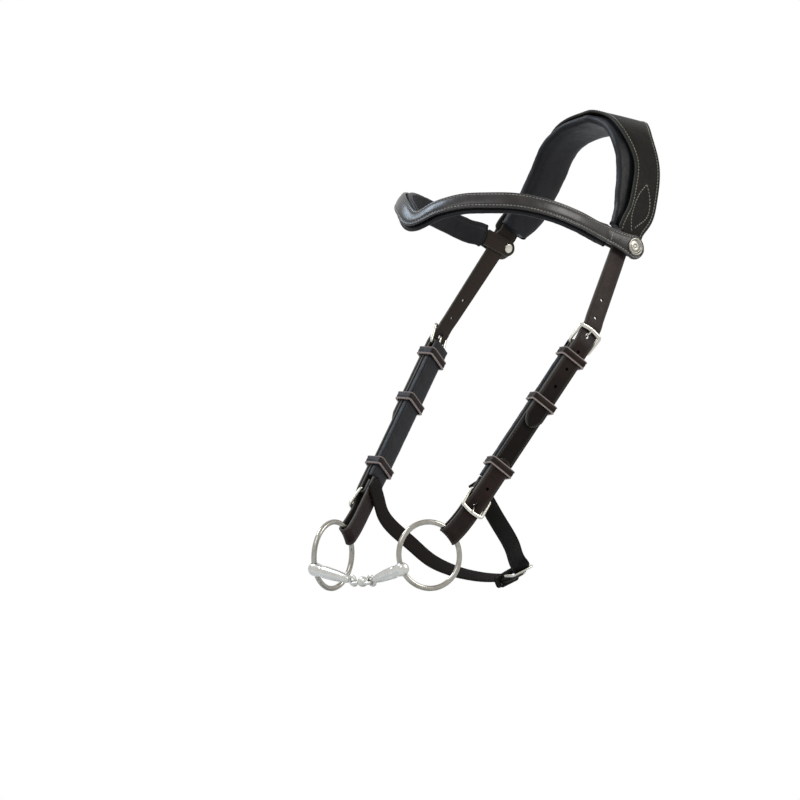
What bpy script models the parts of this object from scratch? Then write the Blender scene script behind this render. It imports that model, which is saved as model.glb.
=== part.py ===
"""An English bridle with a loose-ring snaffle. Its browband is at the front, towards -Y.

The origin is the middle of the headpiece lining's underside, +Z is up and +X is the bridle's left.
Everything but the jaw strap is the same on both sides. Lengths are in metres.
"""

import math

import bmesh
import bpy
from mathutils import Matrix, Vector

# Leather and gaps
STRAP_WIDTH = 0.018
STRAP_THICK = 0.0023
JAW_STRAP_WIDTH = 0.016
EDGE_ROUND = 0.0004
GAP = 0.0003
SOFT_GAP = 0.0005
MERGE = 0.00002
CUT_OVERRUN = 0.003

# Headpiece: place of the browband crossing, as seen from the poll
CROSSING_HALF_SPAN = 0.0855
CROSSING_FORWARD = 0.0689
CROSSING_DROP = 0.0983
CROWN_WIDTH = 0.061
CROWN_THICK = 0.0026
CROWN_LINING_THICK = 0.0115
CROWN_LINING_ROLL = 0.008
CROWN_LINING_ROUND = 0.0040
CROWN_LOW_WIDTH = 0.0268
CROWN_LOW_SET_BACK = 0.0024
CROWN_END_UNDER_BAND = 0.005
CROWN_LINING_END = 0.0145
LINING_LOW_SHARE = 0.15
CROSS_FLAT_ABOVE = 0.0165
CROSS_FLAT_RUN = 0.0045
CROWN_LINING_TAPER_LENGTH = 0.046
BILLET_SEAM_LENGTH = 0.070
BILLET_BEND_LENGTH = 0.012

# Rows of the crown's route: shares of the half span, of the forward reach and of the height to
# the crossing, then the outward direction and the share of the crown's width
CROWN_ROUTE_SHARES = (
    (0.000, 0.067, 0.000, (0.00, 0.20, 0.98), 0.950),
    (0.265, 0.160, 0.025, (0.25, 0.18, 0.95), 0.730),
    (0.505, 0.290, 0.100, (0.56, 0.12, 0.82), 0.600),
    (0.670, 0.328, 0.232, (0.78, 0.08, 0.62), 0.505),
    (0.785, 0.356, 0.381, (0.90, 0.06, 0.43), 0.460),
    (0.865, 0.471, 0.559, (0.95, 0.05, 0.30), 0.465),
    (0.925, 0.605, 0.737, (0.965, 0.05, 0.25), 0.480),
)

# The flat crossing of browband and headpiece strap: direction of the strap down and outward
CROSSING_DOWN_DIRECTION = (0.12, -0.525, -0.84)
CROSSING_OUT_DIRECTION = (0.968, 0.06, 0.22)

# Browband
BAND_WIDTH = 0.0155
BAND_THICK = 0.0026
BAND_END_RADIUS = 0.0098
BAND_REACH = 0.1655
BAND_RISE = 0.0408
BAND_PAD_THICK = 0.0064
BAND_PAD_OVERHANG = 0.0028
BAND_PAD_ROUND = 0.0026
TAB_WIDTH = 0.0145
TAB_THICK = 0.0020
CROSS_SEAM_CLEARANCE = 0.0086
BAND_TILT = math.radians(10.0)
END_ARC_PIECES = 6
END_ARC_TURN = math.radians(78.0)
FLAP_WIDEN_SHARES = (0.35, 0.7, 0.9)

# Rows of the browband's route from the front centre: shares of the crossing's half span, of the
# reach forward of the crossing, and of the rise above it, then the outward direction
BAND_ROUTE_SHARES = (
    (0.000, 1.000, 0.483, (0.00, -0.80, 0.60)),
    (0.266, 0.954, 0.723, (0.22, -0.78, 0.58)),
    (0.473, 0.879, 0.858, (0.48, -0.67, 0.55)),
    (0.661, 0.790, 0.887, (0.72, -0.46, 0.50)),
    (0.835, 0.685, 0.880, (0.86, -0.28, 0.44)),
    (0.979, 0.531, 0.755, (0.93, -0.14, 0.36)),
    (1.040, 0.338, 0.498, (0.955, -0.04, 0.29)),
    (1.013, 0.183, 0.260, (0.967, 0.03, 0.24)),
)

# Press stud, and the notch that it has in the strap's rear edge
SNAP_BACK = 0.0095
NOTCH_PLAY = 0.0005
CONCHO_RADIUS = 0.0086
CONCHO_HEIGHT = 0.0026
SNAP_POST_RADIUS = 0.0015
SNAP_SOCKET_RADIUS = 0.0034
SNAP_SOCKET_HEIGHT = 0.0024
SNAP_HEAD_RADIUS = 0.0016
SNAP_PLAY = 0.0005
SNAP_BACK_RADIUS = 0.0042
SNAP_BACK_HEIGHT = 0.0008

# Cheekpiece: place of the upper buckle bar, and the strap's direction and length bar to bar
CHEEK_TOP_HALF_SPAN = 0.0970
CHEEK_TOP_FORWARD = 0.1296
CHEEK_TOP_DROP = 0.1901
CHEEK_LENGTH = 0.1615
CHEEK_DOWN_DIRECTION = (-0.115, -0.592, -0.797)
CHEEK_TOE_IN = math.radians(18.0)
CHEEK_LINING_WIDTH = 0.0212
CHEEK_LINING_EDGE = 0.0012
CHEEK_RETURN_LENGTH = 0.010
BILLET_LENGTH_BELOW_BAR = 0.086
BILLET_TIP_LENGTH = 0.009
TIP_NARROW_SHARE = 0.28
TIP_SHARES = (0.6, 0.3, 0.1, 0.0)
BIT_STRAP_TIP_ABOVE_BAR = 0.037
BIT_STRAP_REACH = 0.0262
BIT_STRAP_TURN = math.radians(11.5)
BIT_STRAP_SEAM_LENGTH = 0.0137

# Keepers
KEEPER_HEIGHT = 0.0072
KEEPER_THICK = 0.0017
KEEPER_CORNER = 0.0018
KEEPER_RIM = 0.0004
UPPER_KEEPER_BELOW_BAR = 0.0112
RUNNER_BELOW_BAR = 0.0610
LOWER_KEEPER_ABOVE_BAR = 0.0296
JAW_KEEPER_FROM_BAR = 0.020

# Buckles
BUCKLE_WIRE = 0.0024
BUCKLE_LENGTH = 0.0185
BUCKLE_PLAY = 0.0007
BUCKLE_CORNER = 0.0024
BUCKLE_NOSE_BOW = 0.0010
BUCKLE_TILT_DROP = 0.0042
TONGUE_WIRE = 0.0018
TONGUE_EYE_WIDTH = 0.0030
TONGUE_EYE_THICK = 0.0011
TONGUE_TIP_PAST_NOSE = math.radians(24.0)
TONGUE_HOLE_SHARE = 0.74
BAR_PLAY = 0.0003

# Holes
HOLE_RADIUS = 0.0020
HOLE_PITCH = 0.0190
USED_HOLE_STRETCH_SHARE = 1.65
USED_HOLE_SET_BACK = 0.0008
BILLET_UPPER_HOLE_COUNT = 2
BILLET_LOWER_HOLE_COUNT = 4
JAW_UPPER_HOLE_COUNT = 2
JAW_LOWER_HOLE_COUNT = 1
JAW_HOLE_PITCH = 0.0150

# Jaw strap: depth of its lowest point below the lower buckle bar, and how far behind it
JAW_DROP = 0.0730
JAW_BACK = 0.0800
JAW_ANCHOR_ABOVE_BAR = 0.0083
JAW_ANCHOR_FRONT = 0.0080
JAW_LEAVE_SLOPE = 0.42
JAW_FREE_LENGTH = 0.0250
JAW_BILLET_BEYOND_BAR = 0.034
JAW_BAR_SHARE = 0.22
JAW_TIP_SHARES = (0.0, 0.34, 0.67)
JAW_FREE_LEAN_SHARES = (0.0, 0.05, -0.12)

# Rows of the jaw strap's route from where it leaves the cheekpiece to under the jaw: shares of
# the half span there, of the way back and of the way down, then the outward direction
JAW_ROUTE_SHARES = (
    (0.955, 0.520, 0.600, (0.88, 0.10, -0.46)),
    (0.830, 0.715, 0.800, (0.70, 0.24, -0.67)),
    (0.625, 0.865, 0.915, (0.42, 0.33, -0.85)),
    (0.330, 0.965, 0.980, (0.18, 0.37, -0.91)),
    (0.000, 1.000, 1.000, (0.00, 0.38, -0.92)),
)

# Bit
RING_RADIUS = 0.0293
RING_WIRE = 0.0048
RING_PLAY = 0.0004
MOUTH_CONTACT_ANGLE = math.radians(28.0)
BORE_PLAY = 0.0005
BUTT_RADIUS = 0.0062
BUTT_LENGTH = 0.0120
CANNON_RADIUS = 0.0056
CANNON_END_RADIUS = 0.0036
ARM_DROOP = 0.0110
EYE_RADIUS = 0.0042
EYE_WIRE = 0.0030
LINK_HALF_LENGTH = 0.0085
LOZENGE_RADIUS = 0.0046
LOZENGE_HALF_LENGTH = 0.0056

# Surface quality
TURN_STEP = math.radians(14.0)
DENSE_PIECES = 14
FOLD_PIECES = 8
CORNER_PIECES = 3
KEEPER_CORNER_PIECES = 2
SOFT_ROUND_PIECES = 3
ROUND_SEGMENTS = 20
SNAP_SEGMENTS = 12
MOUTH_SEGMENTS = 16
RING_SEGMENTS = 32
RING_SIDES = 10
EYE_SEGMENTS = 14
EYE_SIDES = 8
HOLE_SEGMENTS = 12

LEATHER_COLOUR = (0.022, 0.018, 0.016, 1.0)
LINING_COLOUR = (0.012, 0.013, 0.016, 1.0)
STEEL_COLOUR = (0.62, 0.60, 0.56, 1.0)


def clear_scene():
    for old in list(bpy.data.objects):
        bpy.data.objects.remove(old, do_unlink=True)


def new_collection(name):
    collection = bpy.data.collections.new(name)
    bpy.context.scene.collection.children.link(collection)
    return collection


clear_scene()
BRIDLE = new_collection("horse_bridle")
CUTTERS = new_collection("cutters")


def material(name, colour, roughness, metallic):
    made = bpy.data.materials.get(name)
    if made is None:
        made = bpy.data.materials.new(name)
        made.use_nodes = True
        shader = made.node_tree.nodes["Principled BSDF"]
        shader.inputs["Base Color"].default_value = colour
        shader.inputs["Roughness"].default_value = roughness
        shader.inputs["Metallic"].default_value = metallic
    return made


def leather(obj):
    obj.data.materials.append(material(obj.name + "_leather", LEATHER_COLOUR, 0.45, 0.0))


def soft_lining(obj):
    obj.data.materials.append(material(obj.name + "_soft", LINING_COLOUR, 0.55, 0.0))


def steel(obj):
    obj.data.materials.append(material(obj.name + "_steel", STEEL_COLOUR, 0.25, 1.0))


def place(obj, parent=None, matrix=None, collection=None):
    """Move an object into its collection, under its parent and to its place."""
    for old in list(obj.users_collection):
        old.objects.unlink(obj)
    (collection or BRIDLE).objects.link(obj)
    obj.parent = parent
    if matrix is not None:
        obj.matrix_basis = matrix
    return obj


def cutter(obj, parent=None, matrix=None):
    """Make an object a hidden guide for a Boolean."""
    place(obj, parent, matrix, CUTTERS)
    obj.hide_render = True
    obj.display_type = "WIRE"
    return obj


def modifier(obj, kind, **settings):
    made = obj.modifiers.new(kind.lower(), kind)
    for key, value in settings.items():
        setattr(made, key, value)
    return made


def boolean(obj, other, operation="DIFFERENCE"):
    modifier(obj, "BOOLEAN", object=other, operation=operation)


def bevel(obj, width, segments=1, angle=math.radians(50.0)):
    modifier(obj, "BEVEL", width=width, segments=segments, limit_method="ANGLE", angle_limit=angle)


def shade_round(obj, angle=math.radians(40.0)):
    obj.data.shade_smooth()
    obj.data.set_sharp_from_angle(angle=angle)


def empty(name, matrix, collection=None):
    made = bpy.data.objects.new(name, None)
    return place(made, None, matrix, collection)


def mirrored(vector, side):
    """The vector on the bridle's left for side 1, and its mirror image for side -1."""
    return Vector((vector[0] * side, vector[1], vector[2]))


def frame_of(origin, outward, up):
    """A placement whose x points outward, z up the strap and y across it."""
    z = Vector(up).normalized()
    outward = Vector(outward)
    x = (outward - outward.dot(z) * z).normalized()
    y = z.cross(x)
    return Matrix.Translation(origin) @ Matrix((x, y, z)).transposed().to_4x4()


class Route:
    """A smooth path through controls of point, outward direction and width."""

    def __init__(self, controls, start=None, end=None):
        points = [Vector(c[0]) for c in controls]
        values = [tuple(p) + tuple(Vector(c[1]).normalized()) + (c[2],) for p, c in zip(points, controls)]
        spans = [(b - a).length for a, b in zip(points, points[1:])]
        slopes = self.slopes(values, spans, start, end)
        self.points = []
        self.outs = []
        self.widths = []
        for i, span in enumerate(spans):
            last = i == len(spans) - 1
            for j in range(DENSE_PIECES + (1 if last else 0)):
                t = j / DENSE_PIECES
                row = self.hermite(values[i], values[i + 1], slopes[i], slopes[i + 1], span, t)
                self.points.append(Vector(row[0:3]))
                self.outs.append(Vector(row[3:6]).normalized())
                self.widths.append(row[6])
        self.lengths = [0.0]
        for a, b in zip(self.points, self.points[1:]):
            self.lengths.append(self.lengths[-1] + (b - a).length)
        self.length = self.lengths[-1]
        self.controls = [self.lengths[min(i * DENSE_PIECES, len(self.points) - 1)] for i in range(len(points))]

    @staticmethod
    def slopes(values, spans, start, end):
        rates = [[(b - a) / span for a, b in zip(v, w)] for v, w, span in zip(values, values[1:], spans)]
        found = [rates[0]]
        for i in range(1, len(values) - 1):
            before, after = spans[i - 1], spans[i]
            found.append([(r * after + s * before) / (before + after) for r, s in zip(rates[i - 1], rates[i])])
        found.append(rates[-1])
        if start is not None:
            found[0] = list(start) + [0.0] * 4
        if end is not None:
            found[-1] = list(end) + [0.0] * 4
        return found

    @staticmethod
    def hermite(a, b, slope_a, slope_b, span, t):
        h00 = 2 * t**3 - 3 * t**2 + 1
        h10 = t**3 - 2 * t**2 + t
        h01 = 3 * t**2 - 2 * t**3
        h11 = t**3 - t**2
        return [h00 * p + h10 * span * m + h01 * q + h11 * span * n for p, q, m, n in zip(a, b, slope_a, slope_b)]

    def at(self, distance):
        """Point, direction along, direction across, outward direction and width at a distance."""
        distance = min(max(distance, 0.0), self.length)
        i = 0
        while i < len(self.lengths) - 2 and self.lengths[i + 1] < distance:
            i += 1
        piece = self.lengths[i + 1] - self.lengths[i]
        t = (distance - self.lengths[i]) / piece
        along = (self.tangent(i) * (1 - t) + self.tangent(i + 1) * t).normalized()
        point = self.points[i].lerp(self.points[i + 1], t)
        out = self.outs[i].lerp(self.outs[i + 1], t)
        across = out.cross(along).normalized()
        width = self.widths[i] * (1 - t) + self.widths[i + 1] * t
        return point, along, across, along.cross(across), width

    def tangent(self, i):
        low = max(i - 1, 0)
        high = min(i + 1, len(self.points) - 1)
        return (self.points[high] - self.points[low]).normalized()

    def stations(self, start, end, keep=(), turn=TURN_STEP):
        """Distances from start to end, those kept and closer ones where the strap turns."""
        marks = [start] + sorted(mark for mark in keep if start < mark < end) + [end]
        found = [start]
        for low, high in zip(marks, marks[1:]):
            last = self.at(low)
            inner = []
            for distance in self.lengths:
                if distance <= low or distance >= high:
                    continue
                here = self.at(distance)
                if here[1].angle(last[1]) + here[2].angle(last[2]) > turn:
                    inner.append(distance)
                    last = here
            if inner and high - inner[-1] < (high - low) / 8:
                inner.pop()
            found += inner + [high]
        return found

    def nearest(self, point):
        """The distance along the path that comes nearest to a point."""
        best = min(range(len(self.points)), key=lambda i: (self.points[i] - point).length)
        return self.lengths[best]


def rows_along(route, stations, lift=0.0, shift=0.0, width=None):
    """Rows of centre and half-width vector; lift and width may be functions of the distance."""
    rows = []
    for distance in stations:
        point, along, across, out, own_width = route.at(distance)
        raised = lift(distance) if callable(lift) else lift
        wide = own_width if width is None else width(distance)
        moved = shift(distance) if callable(shift) else shift
        rows.append((point + out * raised + across * moved, across * wide / 2))
    return rows


def strip(name, rows, thickness, columns=1, parent=None, mirror=False, loop=False, dish=None):
    """A strip of leather: a grid laid on the rows, then thickened."""
    laid = rows + [rows[0]] if loop else rows
    grid = bmesh.new()
    bmesh.ops.create_grid(grid, x_segments=len(laid) - 1, y_segments=columns, size=1)
    for vertex in grid.verts:
        row = round((vertex.co.x + 1) / 2 * (len(laid) - 1))
        share = vertex.co.y
        centre, half = laid[row]
        vertex.co = centre + half * share
        if dish is not None:
            vertex.co += dish(row, share)
        if mirror and row == 0:
            vertex.co.x = 0.0
    if loop:
        bmesh.ops.remove_doubles(grid, verts=grid.verts, dist=MERGE)
    bmesh.ops.recalc_face_normals(grid, faces=grid.faces)
    mesh = bpy.data.meshes.new(name)
    grid.to_mesh(mesh)
    grid.free()
    obj = place(bpy.data.objects.new(name, mesh), parent)
    if mirror:
        modifier(obj, "MIRROR", use_clip=True, merge_threshold=MERGE)
    modifier(obj, "SOLIDIFY", thickness=thickness, offset=0.0, use_even_offset=True)
    return obj


def strap(name, rows, thickness, **settings):
    """A leather strap with softened edges."""
    obj = strip(name, rows, thickness, **settings)
    bevel(obj, EDGE_ROUND)
    leather(obj)
    return obj


def pointed(length, tip, width):
    """A strap's width near its pointed end, as a function of distance."""

    def wide(distance):
        left = max(length - distance, 0.0)
        if left >= tip:
            return width
        share = left / tip
        return width * (TIP_NARROW_SHARE + (1 - TIP_NARROW_SHARE) * math.sqrt(share))

    return wide


def cylinder(name, radius, depth, segments, matrix, parent=None, stretch=1.0):
    bpy.ops.mesh.primitive_cylinder_add(vertices=segments, radius=radius, depth=depth)
    obj = bpy.context.active_object
    obj.name = name
    for vertex in obj.data.vertices:
        vertex.co.x *= stretch
    return cutter(obj, parent, matrix)


def box_cutter(name, size, matrix, parent=None):
    bpy.ops.mesh.primitive_cube_add(size=1)
    obj = bpy.context.active_object
    obj.name = name
    for vertex in obj.data.vertices:
        vertex.co = Vector(c * s for c, s in zip(vertex.co, size))
    return cutter(obj, parent, matrix)


def turned(name, profile, segments=ROUND_SEGMENTS, parent=None, matrix=None):
    """A turned piece from (radius, height) points, top to bottom down its outer side."""
    mesh = bpy.data.meshes.new(name)
    mesh.from_pydata([(r, 0.0, h) for r, h in profile], [(i, i + 1) for i in range(len(profile) - 1)], [])
    obj = place(bpy.data.objects.new(name, mesh), parent, matrix)
    modifier(
        obj, "SCREW", steps=segments, render_steps=segments, use_merge_vertices=True, merge_threshold=MERGE
    )
    return obj


def wire_loop(name, points, diameter, parent=None):
    """A closed wire through points."""
    curve = bpy.data.curves.new(name, "CURVE")
    curve.dimensions = "3D"
    curve.bevel_depth = diameter / 2
    curve.bevel_resolution = 2
    spline = curve.splines.new("POLY")
    spline.points.add(len(points) - 1)
    for target, point in zip(spline.points, points):
        target.co = tuple(point) + (1.0,)
    spline.use_cyclic_u = True
    return place(bpy.data.objects.new(name, curve), parent)


def torus(name, major, minor, major_segments, minor_segments, matrix, parent=None):
    bpy.ops.mesh.primitive_torus_add(
        major_radius=major, minor_radius=minor, major_segments=major_segments, minor_segments=minor_segments
    )
    obj = bpy.context.active_object
    obj.name = name
    return place(obj, parent, matrix)


# Levels through the cheekpiece, outward from the buckle bar's centre
BAR_RADIUS = BUCKLE_WIRE / 2
FOLD_RADIUS = BAR_RADIUS + BAR_PLAY + STRAP_THICK / 2
TONGUE_EYE_RADIUS = BAR_RADIUS + BAR_PLAY + TONGUE_EYE_THICK
STRAP_LEVEL = FOLD_RADIUS
BILLET_LEVEL = STRAP_LEVEL + STRAP_THICK + GAP
INNER_LEG_LEVEL = -FOLD_RADIUS - STRAP_THICK - GAP
LINING_BACK = INNER_LEG_LEVEL - STRAP_THICK / 2
NOSE_BILLET_LEVEL = BILLET_LEVEL - BUCKLE_TILT_DROP
NOSE_LEVEL = NOSE_BILLET_LEVEL + STRAP_THICK / 2 + GAP + BAR_RADIUS
HOLE_AT = Vector((BILLET_LEVEL - BUCKLE_TILT_DROP * TONGUE_HOLE_SHARE, 0.0, BUCKLE_LENGTH * TONGUE_HOLE_SHARE))
X_AXIS_TURN = Matrix.Rotation(math.radians(90.0), 4, "Y")


def cheek_frame(side):
    """The placement of a cheekpiece, with its origin at the lower buckle bar."""
    top = Vector((CHEEK_TOP_HALF_SPAN, -CHEEK_TOP_FORWARD, -CHEEK_TOP_DROP))
    down = Vector(CHEEK_DOWN_DIRECTION).normalized()
    out = Vector((math.cos(CHEEK_TOE_IN), -math.sin(CHEEK_TOE_IN), 0.0))
    low = top + down * CHEEK_LENGTH
    return frame_of(mirrored(low, side), mirrored(out, side), mirrored(-down, side))


def crossing_frame(side):
    """The placement of the flat crossing, in the middle of the two strap layers."""
    origin = Vector((CROSSING_HALF_SPAN, -CROSSING_FORWARD, -CROSSING_DROP))
    down = Vector(CROSSING_DOWN_DIRECTION)
    return frame_of(
        mirrored(origin, side), mirrored(CROSSING_OUT_DIRECTION, side), mirrored(-down, side)
    )


def band_frame(side):
    """The crossing turned to lie along the browband."""
    return crossing_frame(side) @ Matrix.Rotation(BAND_TILT * side, 4, "X")


# Levels through the crossing, outward from its middle
CROWN_LEVEL = (STRAP_THICK + GAP) / 2
CROSS_BILLET_LEVEL = -(CROWN_THICK + GAP) / 2
STACK_HALF = (STRAP_THICK + CROWN_THICK + GAP) / 2
FLAP_LEVEL = STACK_HALF + GAP + BAND_THICK / 2
TAB_LEVEL = -STACK_HALF - GAP - TAB_THICK / 2
CROSS_SEAM = STRAP_WIDTH / 2 + CROSS_SEAM_CLEARANCE


def crown_route(side):
    """The middle surface of the crown piece from the poll down to past the crossing."""
    top = CROWN_LINING_THICK + SOFT_GAP + CROWN_THICK / 2
    height = top + CROSSING_DROP
    controls = []
    for across, forward, down, out, wide in CROWN_ROUTE_SHARES:
        point = Vector((across * CROSSING_HALF_SPAN, -forward * CROSSING_FORWARD, top - down * height))
        controls.append((mirrored(point, side), mirrored(out, side), wide * CROWN_WIDTH))
    frame = crossing_frame(side)
    out = frame.col[0].to_3d()
    half_band = BAND_WIDTH / 2
    back = CROWN_LOW_SET_BACK * side
    for set_back, up, wide in (
        (back, CROSS_FLAT_ABOVE, CROWN_LOW_WIDTH),
        (back, CROSS_FLAT_ABOVE - CROSS_FLAT_RUN, CROWN_LOW_WIDTH),
        (back * 2 / 3, half_band, (CROWN_LOW_WIDTH * 2 + STRAP_WIDTH) / 3),
        (0.0, SNAP_SOCKET_RADIUS + GAP * 2, STRAP_WIDTH),
        (0.0, -half_band, STRAP_WIDTH),
    ):
        controls.append((frame @ Vector((CROWN_LEVEL, set_back, up)), out, wide))
    return Route(controls, start=(side, 0.0, 0.0))


def crown_marks(route):
    """Distances of the billet's top, the lining's end, the crossing's middle and the crown's end."""
    middle = route.controls[len(CROWN_ROUTE_SHARES)] + CROSS_FLAT_ABOVE
    return middle - BILLET_SEAM_LENGTH, middle - CROWN_LINING_END, middle, middle + CROWN_END_UNDER_BAND


def crown_stations(route):
    seam_top, lining_end, middle, end = crown_marks(route)
    keep = (seam_top, lining_end, middle, *route.controls[len(CROWN_ROUTE_SHARES):])
    return route.stations(0.0, end, keep=keep)


def build_headpiece():
    route = crown_route(1)
    seam_top, lining_end, middle, end = crown_marks(route)
    stations = crown_stations(route)
    top = strip("headpiece_top", rows_along(route, stations), CROWN_THICK, columns=2, mirror=True)
    bevel(top, EDGE_ROUND)
    leather(top)
    for label, side in (("left", 1), ("right", -1)):
        cut_notch(top, label, side)

    billet_room = STRAP_THICK + GAP + SOFT_GAP
    level = -(CROWN_THICK + CROWN_LINING_THICK) / 2 - SOFT_GAP
    before = max(distance for distance in stations if distance < seam_top)

    def lift(distance):
        return level - (billet_room if distance > before else 0.0)

    def taper(distance):
        share = min(max((lining_end - distance) / CROWN_LINING_TAPER_LENGTH, 0.0), 1.0)
        return CROWN_LINING_ROLL * (LINING_LOW_SHARE + (1 - LINING_LOW_SHARE) * share)

    def wide(distance):
        return route.at(distance)[4] + taper(distance)

    def shift(distance):
        return -taper(distance) / 2

    stations = [distance for distance in stations if distance <= lining_end]
    rows = rows_along(route, stations, lift=lift, shift=shift, width=wide)
    lining = strip("headpiece_lining", rows, CROWN_LINING_THICK, columns=2, mirror=True)
    bevel(lining, CROWN_LINING_ROUND, segments=SOFT_ROUND_PIECES)
    shade_round(lining)
    soft_lining(lining)


def cut_notch(obj, label, side):
    """Cut the half-round notch in which the press stud passes the strap's rear edge."""
    matrix = band_frame(side) @ Matrix.Translation((0.0, SNAP_BACK * side, 0.0)) @ X_AXIS_TURN
    depth = STACK_HALF * 2 + CUT_OVERRUN
    boolean(obj, cylinder(f"{label}_{obj.name}_notch", SNAP_SOCKET_RADIUS + NOTCH_PLAY, depth, SNAP_SEGMENTS, matrix))


def billet_route(side):
    """A headpiece billet: flat at the crossing, straight to the buckle's nose and through the buckle."""
    cross = crossing_frame(side)
    cheek = cheek_frame(side)
    cross_out = cross.col[0].to_3d()
    out = cheek.col[0].to_3d()
    bar = Vector((0.0, 0.0, CHEEK_LENGTH))
    flat = [cross @ Vector((CROSS_BILLET_LEVEL, 0.0, up)) for up in (0.0, -BAND_WIDTH / 2)]
    controls = [(point, cross_out, STRAP_WIDTH) for point in flat]
    nose = cheek @ (bar + Vector((NOSE_BILLET_LEVEL, 0.0, BUCKLE_LENGTH + BUCKLE_WIRE)))
    bend = BILLET_BEND_LENGTH / (nose - flat[1]).length
    for share in (bend, 1 - bend):
        controls.append((flat[1].lerp(nose, share), cross_out.lerp(out, share), STRAP_WIDTH))
    for level, up in (
        (NOSE_BILLET_LEVEL, BUCKLE_LENGTH + BUCKLE_WIRE),
        (NOSE_BILLET_LEVEL, BUCKLE_LENGTH),
        (HOLE_AT.x, HOLE_AT.z),
        (BILLET_LEVEL, BUCKLE_WIRE),
        (BILLET_LEVEL, -BUCKLE_WIRE),
        (BILLET_LEVEL, -BILLET_LENGTH_BELOW_BAR),
    ):
        controls.append((cheek @ (bar + Vector((level, 0.0, up))), out, STRAP_WIDTH))
    return Route(controls)


def punch(obj, route, hole_at, before, after, pitch, to_bar):
    """Punch a row of holes; the used one is worn long on the side of the bar, which to_bar gives."""
    used = route.nearest(hole_at)
    for i in range(-before, after + 1):
        set_back = USED_HOLE_SET_BACK * to_bar if i == 0 else 0.0
        point, along, across, out, width = route.at(used + i * pitch + set_back)
        stretch = USED_HOLE_STRETCH_SHARE if i == 0 else 1.0
        matrix = Matrix.Translation(point) @ Matrix((along, along.cross(out) * -1, out)).transposed().to_4x4()
        name = f"{obj.name}_hole_{i + before + 1}"
        tool = cylinder(name, HOLE_RADIUS, STRAP_THICK * 2, HOLE_SEGMENTS, matrix, stretch=stretch)
        boolean(obj, tool)


def build_billet(label, side):
    """A billet: its top lies under the crown piece and follows it to the crossing."""
    crown = crown_route(side)
    seam_top, lining_end, middle, end = crown_marks(crown)
    hidden = [distance for distance in crown_stations(crown) if seam_top <= distance < middle]
    drop = -(CROWN_THICK + STRAP_THICK) / 2 - GAP
    rows = rows_along(crown, hidden, lift=drop, width=lambda distance: STRAP_WIDTH)
    route = billet_route(side)
    tip = route.length
    stations = route.stations(0.0, tip - BILLET_TIP_LENGTH, keep=route.controls)
    stations += [tip - BILLET_TIP_LENGTH * share for share in TIP_SHARES]
    rows += rows_along(route, stations, width=pointed(tip, BILLET_TIP_LENGTH, STRAP_WIDTH))
    obj = strap(f"{label}_billet", rows, STRAP_THICK)
    hole_at = cheek_frame(side) @ (HOLE_AT + Vector((0.0, 0.0, CHEEK_LENGTH)))
    punch(obj, route, hole_at, BILLET_UPPER_HOLE_COUNT, BILLET_LOWER_HOLE_COUNT, HOLE_PITCH, 1)
    cut_notch(obj, label, side)


def band_controls(level):
    """The browband's route from the front centre to its end, at one level of its thickness."""
    frame = band_frame(1)
    out = frame.col[0].to_3d()
    controls = []
    for across, reach, rise, direction in BAND_ROUTE_SHARES:
        direction = Vector(direction).normalized()
        point = Vector((
            across * CROSSING_HALF_SPAN,
            -CROSSING_FORWARD - reach * BAND_REACH,
            -CROSSING_DROP + rise * BAND_RISE,
        ))
        controls.append((point + direction * level, direction, BAND_WIDTH))
    for back in (-CROSS_SEAM - CROSS_FLAT_RUN, -CROSS_SEAM, SNAP_BACK):
        controls.append((frame @ Vector((level, back, 0.0)), out, BAND_WIDTH))
    return controls


def band_route(level):
    """Ends flat, so the crossing stays in one plane."""
    frame = band_frame(1)
    controls = band_controls(level)
    return Route(controls, start=(1.0, 0.0, 0.0), end=tuple(frame.col[1].to_3d()))


def build_browband():
    route = band_route(FLAP_LEVEL)
    snap_at = route.controls[-1]
    seam_at = route.controls[-2]
    frame = band_frame(1)
    across_band = route.at(snap_at)[2]
    back = frame.col[1].to_3d()
    stations = route.stations(0.0, seam_at)
    rows = rows_along(route, stations)
    snap_centre = frame @ Vector((FLAP_LEVEL, SNAP_BACK, 0.0))
    for share in FLAP_WIDEN_SHARES:
        wide = BAND_WIDTH / 2 + (BAND_END_RADIUS - BAND_WIDTH / 2) * share**2
        point = route.at(seam_at + (snap_at - seam_at) * share)[0]
        rows.append((point, across_band * wide))
    for i in range(END_ARC_PIECES + 1):
        angle = END_ARC_TURN * i / END_ARC_PIECES
        point = snap_centre + back * BAND_END_RADIUS * math.sin(angle)
        rows.append((point, across_band * BAND_END_RADIUS * math.cos(angle)))
    face = strip("browband_face", rows, BAND_THICK, columns=2, mirror=True)
    bevel(face, EDGE_ROUND)
    leather(face)
    for side in (1, -1):
        matrix = band_frame(side) @ Matrix.Translation((FLAP_LEVEL, SNAP_BACK * side, 0.0)) @ X_AXIS_TURN
        tool = cylinder(
            f"concho_hole_{side}", SNAP_POST_RADIUS + GAP, BAND_THICK + CUT_OVERRUN, HOLE_SEGMENTS, matrix
        )
        boolean(face, tool)

    level = -(BAND_THICK + BAND_PAD_THICK) / 2 - SOFT_GAP
    wide = BAND_WIDTH + 2 * BAND_PAD_OVERHANG
    stations[-1] = seam_at - SOFT_GAP
    rows = rows_along(route, stations, lift=level, width=lambda distance: wide)
    padding = strip("browband_padding", rows, BAND_PAD_THICK, columns=2, mirror=True)
    bevel(padding, BAND_PAD_ROUND, segments=SOFT_ROUND_PIECES)
    shade_round(padding)
    soft_lining(padding)


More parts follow.
